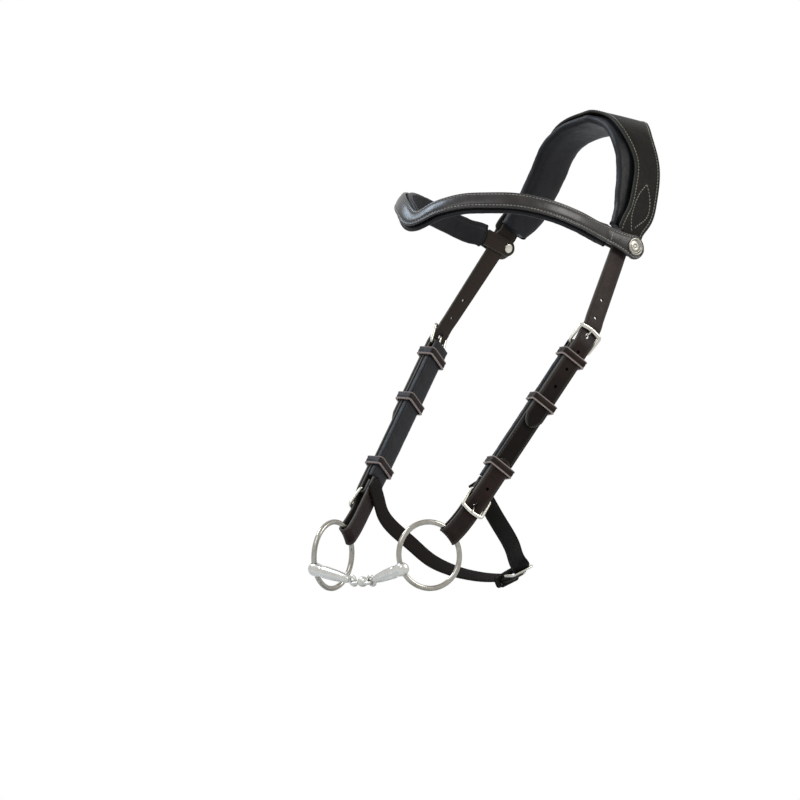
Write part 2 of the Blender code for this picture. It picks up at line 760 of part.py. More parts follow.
def build_tab(label, side, cross):
    """The inner tab, hinged at the cross seam, with the stud at its free end."""
    hinge = empty(f"{label}_tab_hinge", cross @ Matrix.Translation((TAB_LEVEL, -CROSS_SEAM * side, 0.0)))
    reach = SNAP_BACK + CROSS_SEAM
    end_radius = TAB_WIDTH / 2
    rows = []
    for along in (0.0, reach / 2, reach):
        rows.append((Vector((0.0, along * side, 0.0)), Vector((0.0, 0.0, end_radius))))
    for i in range(1, END_ARC_PIECES + 1):
        angle = END_ARC_TURN * i / END_ARC_PIECES
        rows.append((
            Vector((0.0, (reach + end_radius * math.sin(angle)) * side, 0.0)),
            Vector((0.0, 0.0, end_radius * math.cos(angle))),
        ))
    tab = strap(f"{label}_browband_tab", rows, TAB_THICK, parent=hinge)
    hole = Matrix.Translation((0.0, reach * side, 0.0)) @ X_AXIS_TURN
    boolean(
        tab,
        cylinder(f"{label}_tab_hole", SNAP_POST_RADIUS + GAP, TAB_THICK + CUT_OVERRUN, HOLE_SEGMENTS, hole, hinge),
    )
    build_snap_stud(label, hinge, hole)


def build_snap_stud(label, hinge, place_at):
    """Back cap, post through the tab, flange, neck and head, along the tab's outward direction."""
    flange_low = TAB_THICK / 2 + GAP
    flange_high = flange_low + SNAP_BACK_HEIGHT
    back_low = -TAB_THICK / 2 - GAP - SNAP_BACK_HEIGHT
    cavity_top = FLAP_LEVEL - BAND_THICK / 2 - GAP - TAB_LEVEL - SNAP_BACK_HEIGHT
    head_top = cavity_top - SNAP_PLAY
    head_low = head_top - SNAP_HEAD_RADIUS * 0.8
    neck = SNAP_HEAD_RADIUS * 0.75
    profile = (
        (0.0, head_top),
        (SNAP_HEAD_RADIUS * 0.7, head_top),
        (SNAP_HEAD_RADIUS, (head_top * 2 + head_low) / 3),
        (neck, head_low),
        (neck, flange_high),
        (SNAP_SOCKET_RADIUS * 0.85, flange_high),
        (SNAP_SOCKET_RADIUS * 0.85, flange_low),
        (SNAP_POST_RADIUS, flange_low),
        (SNAP_POST_RADIUS, back_low + SNAP_BACK_HEIGHT),
        (SNAP_BACK_RADIUS, back_low + SNAP_BACK_HEIGHT),
        (SNAP_BACK_RADIUS * 0.92, back_low + SNAP_BACK_HEIGHT * 0.3),
        (SNAP_BACK_RADIUS * 0.7, back_low),
        (0.0, back_low),
    )
    stud = turned(f"{label}_snap_stud", profile, SNAP_SEGMENTS, hinge, place_at)
    steel(stud)


def build_snap_outer(label, side, cross):
    """The concho with its post through the band's end, and the socket on the inner side."""
    centre = cross @ Matrix.Translation((FLAP_LEVEL, SNAP_BACK * side, 0.0)) @ X_AXIS_TURN
    low = BAND_THICK / 2 + GAP
    rim = low + CONCHO_HEIGHT * 0.55
    socket_face = -BAND_THICK / 2 - GAP
    profile = (
        (0.0, low + CONCHO_HEIGHT),
        (CONCHO_RADIUS * 0.26, low + CONCHO_HEIGHT * 0.96),
        (CONCHO_RADIUS * 0.42, low + CONCHO_HEIGHT * 0.78),
        (CONCHO_RADIUS * 0.50, low + CONCHO_HEIGHT * 0.50),
        (CONCHO_RADIUS * 0.70, low + CONCHO_HEIGHT * 0.50),
        (CONCHO_RADIUS * 0.78, rim + CONCHO_HEIGHT * 0.25),
        (CONCHO_RADIUS * 0.90, rim + CONCHO_HEIGHT * 0.25),
        (CONCHO_RADIUS, rim),
        (CONCHO_RADIUS, low + CONCHO_HEIGHT * 0.15),
        (CONCHO_RADIUS * 0.96, low),
        (SNAP_POST_RADIUS, low),
        (SNAP_POST_RADIUS, socket_face + GAP),
        (0.0, socket_face + GAP),
    )
    concho = turned(f"{label}_concho", profile, parent=None, matrix=centre)
    steel(concho)
    base = socket_face - SNAP_BACK_HEIGHT
    bottom = socket_face - SNAP_SOCKET_HEIGHT
    cavity = SNAP_HEAD_RADIUS + SNAP_PLAY
    profile = (
        (0.0, socket_face),
        (SNAP_SOCKET_RADIUS * 0.9, socket_face),
        (SNAP_SOCKET_RADIUS, socket_face - SNAP_BACK_HEIGHT * 0.4),
        (SNAP_SOCKET_RADIUS, bottom + SNAP_BACK_HEIGHT * 0.3),
        (SNAP_SOCKET_RADIUS * 0.9, bottom),
        (cavity, bottom),
        (cavity, base),
        (0.0, base),
    )
    socket = turned(f"{label}_snap_socket", profile, SNAP_SEGMENTS, None, centre)
    steel(socket)


def arc_points(centre, radius, start, end, pieces):
    """Points (x, z) on an arc, from the start to the end angle, both measured from x towards z."""
    return [
        (
            centre[0] + radius * math.cos(start + (end - start) * i / pieces),
            centre[1] + radius * math.sin(start + (end - start) * i / pieces),
        )
        for i in range(pieces + 1)
    ]


def slot_for_tongue(obj, name, bar_at, turn, parent):
    """Cut the slot through a folded strap end in which the tongue turns."""
    low = TONGUE_EYE_RADIUS + 2 * GAP
    high = FOLD_RADIUS + STRAP_THICK
    size = (FOLD_RADIUS * 4, TONGUE_EYE_WIDTH + 4 * GAP, low + high)
    matrix = Matrix.Translation((0.0, 0.0, bar_at + (high - low) / 2 * turn))
    boolean(obj, box_cutter(name, size, matrix, parent))


def build_cheek_strap(label, frame):
    """The strap with both ends folded round the buckle bars."""
    length = CHEEK_LENGTH
    back = CHEEK_RETURN_LENGTH
    path = [(-FOLD_RADIUS, length - back)]
    path += arc_points((0.0, length), FOLD_RADIUS, math.pi, 0.0, FOLD_PIECES)
    path += arc_points((0.0, 0.0), FOLD_RADIUS, 0.0, -math.pi, FOLD_PIECES)
    path += [(-FOLD_RADIUS, back)]
    half = Vector((0.0, STRAP_WIDTH / 2, 0.0))
    obj = strap(f"{label}_cheek_strap", [(Vector((x, 0.0, z)), half) for x, z in path], STRAP_THICK, parent=frame)
    for word, bar_at, turn in (("upper", length, 1), ("lower", 0.0, -1)):
        slot_for_tongue(obj, f"{label}_{word}_slot", bar_at, turn, frame)


def build_cheek_lining(label, frame):
    """The padded lining: thin behind the upper fold, and full between the two folds."""
    low = BIT_STRAP_SEAM_LENGTH + GAP * 2
    high = CHEEK_LENGTH + FOLD_RADIUS
    step = CHEEK_LENGTH - CHEEK_RETURN_LENGTH - GAP * 2
    front = STRAP_LEVEL - STRAP_THICK / 2 - GAP
    thin = INNER_LEG_LEVEL + STRAP_THICK / 2
    outline = [
        (LINING_BACK, low),
        (LINING_BACK, high),
        (thin, high),
        (thin, step),
        (front, step),
        (front, low),
    ]
    curve = bpy.data.curves.new(f"{label}_cheek_lining", "CURVE")
    curve.dimensions = "2D"
    curve.fill_mode = "BOTH"
    curve.extrude = CHEEK_LINING_WIDTH / 2
    spline = curve.splines.new("POLY")
    spline.points.add(len(outline) - 1)
    for target, (x, z) in zip(spline.points, outline):
        target.co = (x, z, 0.0, 1.0)
    spline.use_cyclic_u = True
    matrix = Matrix.Rotation(math.radians(90.0), 4, "X")
    obj = place(bpy.data.objects.new(f"{label}_cheek_lining", curve), frame, matrix)
    modifier(obj, "WELD", merge_threshold=MERGE)
    bevel(obj, CHEEK_LINING_EDGE, segments=2)
    soft_lining(obj)


def keeper_path(depth_low, depth_high, half_width):
    """Corner arcs of a keeper's loop in the plane across the strap."""
    r = KEEPER_CORNER
    corners = (
        (depth_high - r, half_width - r, 0.0),
        (depth_low + r, half_width - r, math.pi / 2),
        (depth_low + r, -half_width + r, math.pi),
        (depth_high - r, -half_width + r, -math.pi / 2),
    )
    path = []
    for x, y, start in corners:
        path += arc_points((x, y), r, start, start + math.pi / 2, KEEPER_CORNER_PIECES)
    return path


def build_keeper(name, parent, at, depth_low, depth_high, half_width):
    """A leather loop whose outer edges stand up a little; at is its centre up the strap."""
    room = GAP + KEEPER_THICK / 2
    path = keeper_path(depth_low - room, depth_high + room, half_width + room)
    middle = Vector(((depth_low + depth_high) / 2, 0.0, 0.0))
    half = Vector((0.0, 0.0, KEEPER_HEIGHT / 2))
    rows = [(Vector((x, y, at)), half) for x, y in path]

    def dish(row, share):
        out = rows[row % len(rows)][0] - middle
        out.z = 0.0
        return out.normalized() * KEEPER_RIM * share**2

    obj = strip(name, rows, KEEPER_THICK, columns=2, parent=parent, loop=True, dish=dish)
    bevel(obj, EDGE_ROUND)
    leather(obj)


def build_keepers(label, frame):
    low = LINING_BACK
    high = BILLET_LEVEL + STRAP_THICK / 2
    half = CHEEK_LINING_WIDTH / 2
    build_keeper(f"{label}_upper_keeper", frame, CHEEK_LENGTH - UPPER_KEEPER_BELOW_BAR, low, high, half)
    build_keeper(f"{label}_lower_keeper", frame, LOWER_KEEPER_ABOVE_BAR, low, high, half)
    runner = bpy.data.objects.new(f"{label}_runner_slide", None)
    place(runner, frame, Matrix.Translation((0.0, 0.0, CHEEK_LENGTH - RUNNER_BELOW_BAR)))
    build_keeper(f"{label}_runner", runner, 0.0, low, high, half)


def buckle_points(strap_width, turn):
    """The closed wire of a buckle: straight bar, two sides, and a nose that bows away."""
    half = strap_width / 2 + BUCKLE_PLAY + BAR_RADIUS
    r = BUCKLE_CORNER
    slope = NOSE_LEVEL / BUCKLE_LENGTH
    flat = []
    flat += arc_points((half - r, r), r, -math.pi / 2, 0.0, CORNER_PIECES)
    flat += arc_points((half - r, BUCKLE_LENGTH - r), r, 0.0, math.pi / 2, CORNER_PIECES)
    flat += [(0.0, BUCKLE_LENGTH + BUCKLE_NOSE_BOW)]
    flat += arc_points((-half + r, BUCKLE_LENGTH - r), r, math.pi / 2, math.pi, CORNER_PIECES)
    flat += arc_points((-half + r, r), r, math.pi, math.pi * 3 / 2, CORNER_PIECES)
    return [Vector((slope * z, y, z * turn)) for y, z in flat]


def build_buckle(name, parent, up, strap_width, turn):
    """A buckle whose bar is at this height and whose nose is on the side that turn says."""
    bar = bpy.data.objects.new(f"{name}_bar", None)
    place(bar, parent, Matrix.Translation((0.0, 0.0, up)))
    frame = wire_loop(f"{name}_frame", buckle_points(strap_width, turn), BUCKLE_WIRE, bar)
    steel(frame)
    build_tongue(f"{name}_tongue", bar, turn)


def tongue_points(turn):
    """The tongue's centre line (x, z): along the strap, up through the hole and over the nose."""
    nose = Vector((NOSE_LEVEL, BUCKLE_LENGTH + BUCKLE_NOSE_BOW))
    hole = Vector((HOLE_AT.x, HOLE_AT.z))
    clear = BAR_RADIUS + GAP + TONGUE_WIRE / 2
    to_nose = nose - hole
    rise = math.atan2(to_nose.x, to_nose.y) + math.asin(clear / to_nose.length)
    direction = Vector((math.sin(rise), math.cos(rise)))
    touch = hole + direction * math.sqrt(to_nose.length**2 - clear**2)
    start = hole.x / direction.x
    knee = hole - direction * start
    ease = TONGUE_WIRE
    points = [Vector((0.0, BAR_RADIUS * 2)), Vector((0.0, knee.y - ease)), knee + direction * ease, hole, touch]
    first = math.atan2(touch.y - nose.y, touch.x - nose.x)
    for i in range(1, 4):
        angle = first + (TONGUE_TIP_PAST_NOSE - first) * i / 3
        points.append(nose + Vector((math.cos(angle), math.sin(angle))) * clear)
    return [Vector((p.x, 0.0, p.y * turn)) for p in points]


def build_tongue(name, bar, turn):
    """An eye round the bar and a wire bent over the nose, joined into one solid."""
    curve = bpy.data.curves.new(name, "CURVE")
    curve.dimensions = "3D"
    curve.bevel_depth = TONGUE_WIRE / 2
    curve.bevel_resolution = 2
    curve.use_fill_caps = True
    points = tongue_points(turn)
    spline = curve.splines.new("POLY")
    spline.points.add(len(points) - 1)
    for target, point in zip(spline.points, points):
        target.co = tuple(point) + (1.0,)
    guide = place(bpy.data.objects.new(name + "_wire", curve), bar)
    mesh = bpy.data.meshes.new_from_object(guide.evaluated_get(bpy.context.evaluated_depsgraph_get()))
    bpy.data.objects.remove(guide, do_unlink=True)
    welded = bmesh.new()
    welded.from_mesh(mesh)
    bmesh.ops.remove_doubles(welded, verts=welded.verts, dist=MERGE)
    bmesh.ops.recalc_face_normals(welded, faces=welded.faces)
    welded.to_mesh(mesh)
    welded.free()
    mesh.name = name
    obj = place(bpy.data.objects.new(name, mesh), bar)
    across = Matrix.Rotation(math.radians(90.0), 4, "X")
    inner = BAR_RADIUS + BAR_PLAY
    bpy.ops.mesh.primitive_cylinder_add(
        vertices=EYE_SEGMENTS, radius=TONGUE_EYE_RADIUS, depth=TONGUE_EYE_WIDTH
    )
    eye = bpy.context.active_object
    eye.name = name + "_eye"
    cutter(eye, bar, across)
    hole = cylinder(name + "_bore", inner, TONGUE_EYE_WIDTH + CUT_OVERRUN, EYE_SEGMENTS, across, bar)
    boolean(obj, eye, "UNION")
    boolean(obj, hole)
    steel(obj)


def bit_strap_plane(front):
    """Where the bit strap meets the ring: place on the wire and direction, as (y, z)."""
    radius = BIT_STRAP_REACH / (2 * math.sin(BIT_STRAP_TURN / 2))

    def at(share):
        angle = BIT_STRAP_TURN * share
        point = Vector((front * radius * (1 - math.cos(angle)), -BUCKLE_LENGTH - radius * math.sin(angle)))
        direction = Vector((front * math.sin(angle), -math.cos(angle)))
        return point, direction

    return at


RING_FOLD_RADIUS = RING_WIRE / 2 + RING_PLAY + STRAP_THICK / 2
RING_LEVEL = (INNER_LEG_LEVEL + NOSE_BILLET_LEVEL) / 2


def ring_centre(front):
    point, direction = bit_strap_plane(front)(1.0)
    centre = point + direction * RING_RADIUS
    return Vector((RING_LEVEL, centre.x, centre.y))


def build_bit_strap(label, side, frame):
    """Down behind the buckle, round the ring and back up through the buckle to its tip."""
    front = -side
    arc = bit_strap_plane(front)
    half = STRAP_WIDTH / 2
    inner_ring = RING_LEVEL - RING_FOLD_RADIUS
    outer_ring = RING_LEVEL + RING_FOLD_RADIUS
    rows = [(Vector((INNER_LEG_LEVEL, 0.0, BIT_STRAP_SEAM_LENGTH)), Vector((0.0, half, 0.0)))]
    shares = (0.0, 0.2, 0.4, 0.6, 0.8, 1.0)

    def row(level, share):
        (y, z), (along_y, along_z) = arc(share)
        return (Vector((level, y, z)), Vector((0.0, -along_z * half, along_y * half)))

    for share in shares:
        smooth = share * share * (3 - 2 * share)
        rows.append(row(INNER_LEG_LEVEL + (inner_ring - INNER_LEG_LEVEL) * smooth, share))
    point, direction = arc(1.0)
    half_across = rows[-1][1]
    for i in range(1, FOLD_PIECES):
        angle = math.pi * i / FOLD_PIECES
        reach = RING_FOLD_RADIUS * math.sin(angle)
        level = RING_LEVEL - RING_FOLD_RADIUS * math.cos(angle)
        rows.append((Vector((level, point.x + direction.x * reach, point.y + direction.y * reach)), half_across))
    for share in reversed(shares):
        smooth = share * share * (3 - 2 * share)
        rows.append(row(NOSE_BILLET_LEVEL + (outer_ring - NOSE_BILLET_LEVEL) * smooth, share))
    flat = Vector((0.0, half, 0.0))
    for level, up in ((HOLE_AT.x, -HOLE_AT.z), (BILLET_LEVEL, 0.0)):
        rows.append((Vector((level, 0.0, up)), flat))
    tip = BIT_STRAP_TIP_ABOVE_BAR
    wide = pointed(tip, BILLET_TIP_LENGTH, STRAP_WIDTH)
    for share in (1.0, *TIP_SHARES):
        up = tip - BILLET_TIP_LENGTH * share
        rows.append((Vector((BILLET_LEVEL, 0.0, up)), Vector((0.0, wide(up) / 2, 0.0))))
    sag = RING_RADIUS - math.sqrt(RING_RADIUS**2 - half**2)
    first_fold = 1 + len(shares)
    last_fold = first_fold + FOLD_PIECES - 2

    def dish(row_index, share):
        if not first_fold <= row_index <= last_fold:
            return Vector((0.0, 0.0, 0.0))
        return Vector((0.0, direction.x, direction.y)) * sag * share**2

    obj = strap(f"{label}_bit_strap", rows, STRAP_THICK, columns=2, parent=frame, dish=dish)
    along = Vector((BUCKLE_TILT_DROP, 0.0, BUCKLE_LENGTH)).normalized()
    out = Vector((along.z, 0.0, -along.x))
    turned_in = Matrix((along, out.cross(along), out)).transposed().to_4x4()
    used = Matrix.Translation(Vector((HOLE_AT.x, 0.0, -HOLE_AT.z)) + along * USED_HOLE_SET_BACK) @ turned_in
    boolean(
        obj,
        cylinder(
            f"{label}_bit_strap_hole_1", HOLE_RADIUS, STRAP_THICK * 2, HOLE_SEGMENTS, used, frame,
            stretch=USED_HOLE_STRETCH_SHARE,
        ),
    )
    spare = Matrix.Translation((BILLET_LEVEL, 0.0, HOLE_PITCH - HOLE_AT.z)) @ X_AXIS_TURN
    boolean(obj, cylinder(f"{label}_bit_strap_hole_2", HOLE_RADIUS, STRAP_THICK * 2, HOLE_SEGMENTS, spare, frame))


def build_ring(label, side, frame):
    spin = bpy.data.objects.new(f"{label}_ring_axis", None)
    place(spin, frame, Matrix.Translation(ring_centre(-side)))
    obj = torus(f"{label}_bit_ring", RING_RADIUS, RING_WIRE / 2, RING_SEGMENTS, RING_SIDES, X_AXIS_TURN, spin)
    obj.data.shade_smooth()
    steel(obj)


def build_cheekpiece(label, side):
    frame = empty(f"{label}_cheek_frame", cheek_frame(side))
    build_cheek_strap(label, frame)
    build_cheek_lining(label, frame)
    build_keepers(label, frame)
    build_buckle(f"{label}_upper_buckle", frame, CHEEK_LENGTH, STRAP_WIDTH, 1)
    build_buckle(f"{label}_lower_buckle", frame, 0.0, STRAP_WIDTH, -1)
    build_bit_strap(label, side, frame)
    build_ring(label, side, frame)


def jaw_controls(side):
    """The jaw strap's middle surface from behind a cheekpiece to under the jaw."""
    cheek = cheek_frame(side)
    front = -side
    level = LINING_BACK - GAP - STRAP_THICK / 2
    out = cheek.col[0].to_3d()
    controls = []
    run = JAW_ANCHOR_FRONT + STRAP_WIDTH / 2
    leave_up = JAW_ANCHOR_ABOVE_BAR - run * JAW_LEAVE_SLOPE
    free_up = leave_up - JAW_FREE_LENGTH * JAW_LEAVE_SLOPE
    for forward, up in (
        (JAW_ANCHOR_FRONT, JAW_ANCHOR_ABOVE_BAR),
        (-STRAP_WIDTH / 2, leave_up),
    ):
        controls.append((cheek @ Vector((level, front * forward, up)), out, JAW_STRAP_WIDTH))
    free = cheek @ Vector((level, front * (-STRAP_WIDTH / 2 - JAW_FREE_LENGTH / 2), (leave_up + free_up) / 2))
    controls.append((free, out + Vector(JAW_FREE_LEAN_SHARES), JAW_STRAP_WIDTH))
    base = cheek @ Vector((level, 0.0, 0.0))
    for across, back, down, direction in JAW_ROUTE_SHARES:
        point = Vector((base.x * across, base.y + back * JAW_BACK, base.z - down * JAW_DROP))
        controls.append((point, mirrored(direction, side), JAW_STRAP_WIDTH))
    return controls


def jaw_route():
    """From behind the right cheekpiece, under the jaw, to behind the left one."""
    right = jaw_controls(-1)
    left = jaw_controls(1)
    return Route(right + left[-2::-1])


def build_jaw_strap():
    route = jaw_route()
    middle = route.length / 2
    bar_at = middle + middle * JAW_BAR_SHARE
    point, along, across, out, width = route.at(bar_at)
    bar_frame = frame_of(point - out * FOLD_RADIUS, out, along)
    frame = empty("jaw_buckle_place", bar_frame)
    build_buckle("jaw_buckle", frame, 0.0, JAW_STRAP_WIDTH, 1)

    keeper_at = bar_at - JAW_KEEPER_FROM_BAR
    under_keeper = (keeper_at - KEEPER_HEIGHT / 2, keeper_at + KEEPER_HEIGHT / 2)
    stations = route.stations(0.0, bar_at, keep=(route.controls[1], *under_keeper))
    rows = rows_along(route, stations)
    half = bar_frame.to_3x3() @ Vector((0.0, JAW_STRAP_WIDTH / 2, 0.0))
    if half.dot(rows[-1][1]) < 0:
        half = -half
    for x, z in arc_points((0.0, 0.0), FOLD_RADIUS, 0.0, math.pi, FOLD_PIECES)[1:] + [
        (-FOLD_RADIUS, -CHEEK_RETURN_LENGTH)
    ]:
        rows.append((bar_frame @ Vector((x, 0.0, z)), half))
    right = strap("jaw_strap_right", rows, STRAP_THICK)
    slot_for_tongue(right, "jaw_slot", 0.0, 1, frame)

    above = STRAP_THICK + GAP
    controls = []
    tip_at = bar_at - JAW_BILLET_BEYOND_BAR
    for share in JAW_TIP_SHARES:
        point, along, across, out, width = route.at(tip_at + JAW_BILLET_BEYOND_BAR * share)
        controls.append((point + out * above, out, JAW_STRAP_WIDTH))
    bar_out = bar_frame.col[0].to_3d()
    for level, up in (
        (BILLET_LEVEL, 0.0),
        (HOLE_AT.x, HOLE_AT.z),
        (NOSE_BILLET_LEVEL - GAP, BUCKLE_LENGTH + BUCKLE_NOSE_BOW),
    ):
        controls.append((bar_frame @ Vector((level, 0.0, up)), bar_out, JAW_STRAP_WIDTH))
    after_nose = bar_at + BUCKLE_LENGTH + BUCKLE_LENGTH / 2
    left = jaw_controls(1)
    sink = NOSE_BILLET_LEVEL - FOLD_RADIUS
    point, along, across, out, width = route.at(after_nose)
    controls.append((point + out * sink, out, JAW_STRAP_WIDTH))
    for point, out, width in (left[3], left[2], left[1], left[0]):
        if (point - controls[-1][0]).length > BUCKLE_LENGTH / 2:
            controls.append((point, out, width))
    billet = Route(controls)
    tip = BILLET_TIP_LENGTH
    stations = [tip * share for share in reversed(TIP_SHARES)]
    stations += billet.stations(tip, billet.length, keep=billet.controls)
    shape = pointed(tip, tip, JAW_STRAP_WIDTH)
    rows = rows_along(billet, stations, width=lambda distance: shape(tip - distance))
    obj = strap("jaw_strap_left", rows, STRAP_THICK)
    hole_at = bar_frame @ HOLE_AT
    punch(obj, billet, hole_at, JAW_UPPER_HOLE_COUNT, JAW_LOWER_HOLE_COUNT, JAW_HOLE_PITCH, -1)

    ends = [route.at(distance) for distance in under_keeper]
    middle = (ends[0][0] + ends[1][0]) / 2
    keeper_place = empty("jaw_keeper_place", frame_of(middle, ends[0][3] + ends[1][3], ends[1][0] - ends[0][0]))
    half_thick = STRAP_THICK / 2
    room = 2 * GAP
    low = -half_thick - room
    high = half_thick + STRAP_THICK + GAP + room
    build_keeper("jaw_keeper", keeper_place, 0.0, low, high, JAW_STRAP_WIDTH / 2 + GAP)


def contact_frame(side):
    """The placement of a mouthpiece arm: origin on the ring's wire, z along the arm's hinge."""
    front = -side
    cheek = cheek_frame(side)
    centre = ring_centre(front)
    to_contact = Vector((0.0, front * math.sin(MOUTH_CONTACT_ANGLE), -math.cos(MOUTH_CONTACT_ANGLE)))
    tangent = Vector((0.0, front * math.cos(MOUTH_CONTACT_ANGLE), math.sin(MOUTH_CONTACT_ANGLE)))
    origin = cheek @ (centre + to_contact * RING_RADIUS)
    axis = cheek.to_3x3() @ tangent
    axis.x = 0.0
    return frame_of(origin, Vector((side, 0.0, 0.0)), axis)


def build_arm(label, side):
    frame_matrix = contact_frame(side)
    hinge = empty(f"{label}_arm_hinge", frame_matrix)
    span = abs(frame_matrix.translation.x) - LINK_HALF_LENGTH - EYE_RADIUS
    inward = Vector((-span, 0.0, -ARM_DROOP))
    length = inward.length
    body_end = length - EYE_RADIUS
    profile = (
        (0.0, BUTT_RADIUS),
        (BUTT_RADIUS * 0.62, BUTT_RADIUS * 0.82),
        (BUTT_RADIUS * 0.94, BUTT_RADIUS * 0.38),
        (BUTT_RADIUS, 0.0),
        (BUTT_RADIUS * 0.96, -BUTT_RADIUS * 0.5),
        (CANNON_RADIUS * 0.90, -BUTT_LENGTH * 0.72),
        (CANNON_RADIUS, -BUTT_LENGTH),
        (CANNON_RADIUS * 0.97, -body_end * 0.45),
        (CANNON_RADIUS * 0.84, -body_end * 0.70),
        (CANNON_END_RADIUS, -body_end * 0.92),
        (CANNON_END_RADIUS * 0.6, -body_end),
        (0.0, -body_end),
    )
    lay = frame_of(Vector((0.0, 0.0, 0.0)), Vector((0.0, 0.0, 1.0)), -inward)
    arm = turned(f"{label}_mouthpiece_arm", profile, MOUTH_SEGMENTS, hinge, lay)
    arm.data.shade_smooth()
    eye_place = Matrix.Translation(inward) @ Matrix.Rotation(math.radians(90.0), 4, "X")
    eye = torus(f"{label}_arm_eye", EYE_RADIUS, EYE_WIRE / 2, EYE_SEGMENTS, EYE_SIDES, eye_place, hinge)
    cutter(eye, hinge, eye_place)
    boolean(arm, eye, "UNION")
    bore_place = cheek_frame(side) @ Matrix.Translation(ring_centre(-side)) @ X_AXIS_TURN
    bore = torus(
        f"{label}_arm_bore", RING_RADIUS, RING_WIRE / 2 + BORE_PLAY, RING_SEGMENTS, RING_SIDES, bore_place
    )
    cutter(bore, None, bore_place)
    boolean(arm, bore)
    steel(arm)


def build_link():
    """The centre link: a lozenge with an eye at each end."""
    contact = contact_frame(1)
    axis = contact.col[2].to_3d()
    hang = EYE_RADIUS - EYE_WIRE - GAP
    centre = contact.translation - axis * (ARM_DROOP + hang)
    centre.x = 0.0
    place_at = frame_of(centre, Vector((1.0, 0.0, 0.0)), axis)
    slide = empty("mouthpiece_link_slide", place_at)
    bpy.ops.mesh.primitive_uv_sphere_add(segments=MOUTH_SEGMENTS, ring_count=MOUTH_SEGMENTS // 2, radius=LOZENGE_RADIUS)
    link = bpy.context.active_object
    link.name = "mouthpiece_link"
    for vertex in link.data.vertices:
        vertex.co.x *= LOZENGE_HALF_LENGTH / LOZENGE_RADIUS
    place(link, slide)
    link.data.shade_smooth()
    for word, sign in (("left", 1), ("right", -1)):
        at = Matrix.Translation((sign * LINK_HALF_LENGTH, 0.0, 0.0))
        eye = torus(f"link_{word}_eye", EYE_RADIUS, EYE_WIRE / 2, EYE_SEGMENTS, EYE_SIDES, at, slide)
        cutter(eye, slide, at)
        boolean(link, eye, "UNION")
    steel(link)


def main():
    build_headpiece()
    build_browband()
    for label, side in (("left", 1), ("right", -1)):
        cross = band_frame(side)
        build_billet(label, side)
        build_tab(label, side, cross)
        build_snap_outer(label, side, cross)
        build_cheekpiece(label, side)
        build_arm(label, side)
    build_jaw_strap()
    build_link()


main()
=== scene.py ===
"""The looks of the bridle: sewn leather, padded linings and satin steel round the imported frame.

All lengths are in metres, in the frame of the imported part: the browband is at the front, towards
-Y, +Z is up and +X is the bridle's left. The routes of the straps repeat the part's named lengths.
"""

import math
from bisect import bisect_right
from functools import cache
from itertools import accumulate

import bmesh
import bpy
from mathutils import Matrix, Vector, noise

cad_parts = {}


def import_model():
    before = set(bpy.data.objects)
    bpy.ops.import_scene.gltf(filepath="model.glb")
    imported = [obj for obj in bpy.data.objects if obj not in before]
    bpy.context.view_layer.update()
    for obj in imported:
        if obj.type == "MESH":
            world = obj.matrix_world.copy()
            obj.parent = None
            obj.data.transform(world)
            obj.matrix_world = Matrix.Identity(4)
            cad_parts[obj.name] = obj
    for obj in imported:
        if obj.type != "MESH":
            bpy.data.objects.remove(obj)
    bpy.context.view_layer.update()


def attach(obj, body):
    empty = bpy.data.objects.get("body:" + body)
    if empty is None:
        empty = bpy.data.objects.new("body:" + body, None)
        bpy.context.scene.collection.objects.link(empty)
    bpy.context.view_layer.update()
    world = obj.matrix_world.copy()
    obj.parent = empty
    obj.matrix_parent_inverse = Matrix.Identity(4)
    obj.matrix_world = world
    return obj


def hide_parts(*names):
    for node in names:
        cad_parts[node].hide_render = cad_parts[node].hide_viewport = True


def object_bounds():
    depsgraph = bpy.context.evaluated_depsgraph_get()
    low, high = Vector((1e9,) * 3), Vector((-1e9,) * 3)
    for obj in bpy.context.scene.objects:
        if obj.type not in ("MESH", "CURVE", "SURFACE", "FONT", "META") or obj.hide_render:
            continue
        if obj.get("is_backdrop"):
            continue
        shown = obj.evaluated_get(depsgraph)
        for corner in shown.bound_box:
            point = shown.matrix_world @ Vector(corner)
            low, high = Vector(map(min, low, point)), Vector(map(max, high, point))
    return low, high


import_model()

# Leather and gaps
STRAP_WIDTH = 0.018
STRAP_THICK = 0.0023
JAW_STRAP_WIDTH = 0.016
GAP = 0.0003
SOFT_GAP = 0.0005
MERGE = 0.000002
CUT_OVERRUN = 0.003

# Headpiece
CROSSING_HALF_SPAN = 0.0855
CROSSING_FORWARD = 0.0689
CROSSING_DROP = 0.0983
CROWN_WIDTH = 0.061
CROWN_THICK = 0.0026
CROWN_LINING_THICK = 0.0115
CROWN_LINING_ROLL = 0.008
CROWN_LOW_WIDTH = 0.0268
CROWN_LOW_SET_BACK = 0.0024
CROWN_END_UNDER_BAND = 0.005
CROWN_LINING_END = 0.0145
CROSS_FLAT_ABOVE = 0.0165
CROSS_FLAT_RUN = 0.0045
BILLET_SEAM_LENGTH = 0.070
BILLET_BEND_LENGTH = 0.012

# Rows of the crown's route: shares of the half span, of the forward reach and of the height to
# the crossing, then the outward direction and the share of the crown's width
CROWN_ROUTE_SHARES = (
    (0.000, 0.067, 0.000, (0.00, 0.20, 0.98), 0.950),
    (0.265, 0.160, 0.025, (0.25, 0.18, 0.95), 0.730),
    (0.505, 0.290, 0.100, (0.56, 0.12, 0.82), 0.600),
    (0.670, 0.328, 0.232, (0.78, 0.08, 0.62), 0.505),
    (0.785, 0.356, 0.381, (0.90, 0.06, 0.43), 0.460),
    (0.865, 0.471, 0.559, (0.95, 0.05, 0.30), 0.465),
    (0.925, 0.605, 0.737, (0.965, 0.05, 0.25), 0.480),
)
CROSSING_DOWN_DIRECTION = (0.12, -0.525, -0.84)
CROSSING_OUT_DIRECTION = (0.968, 0.06, 0.22)

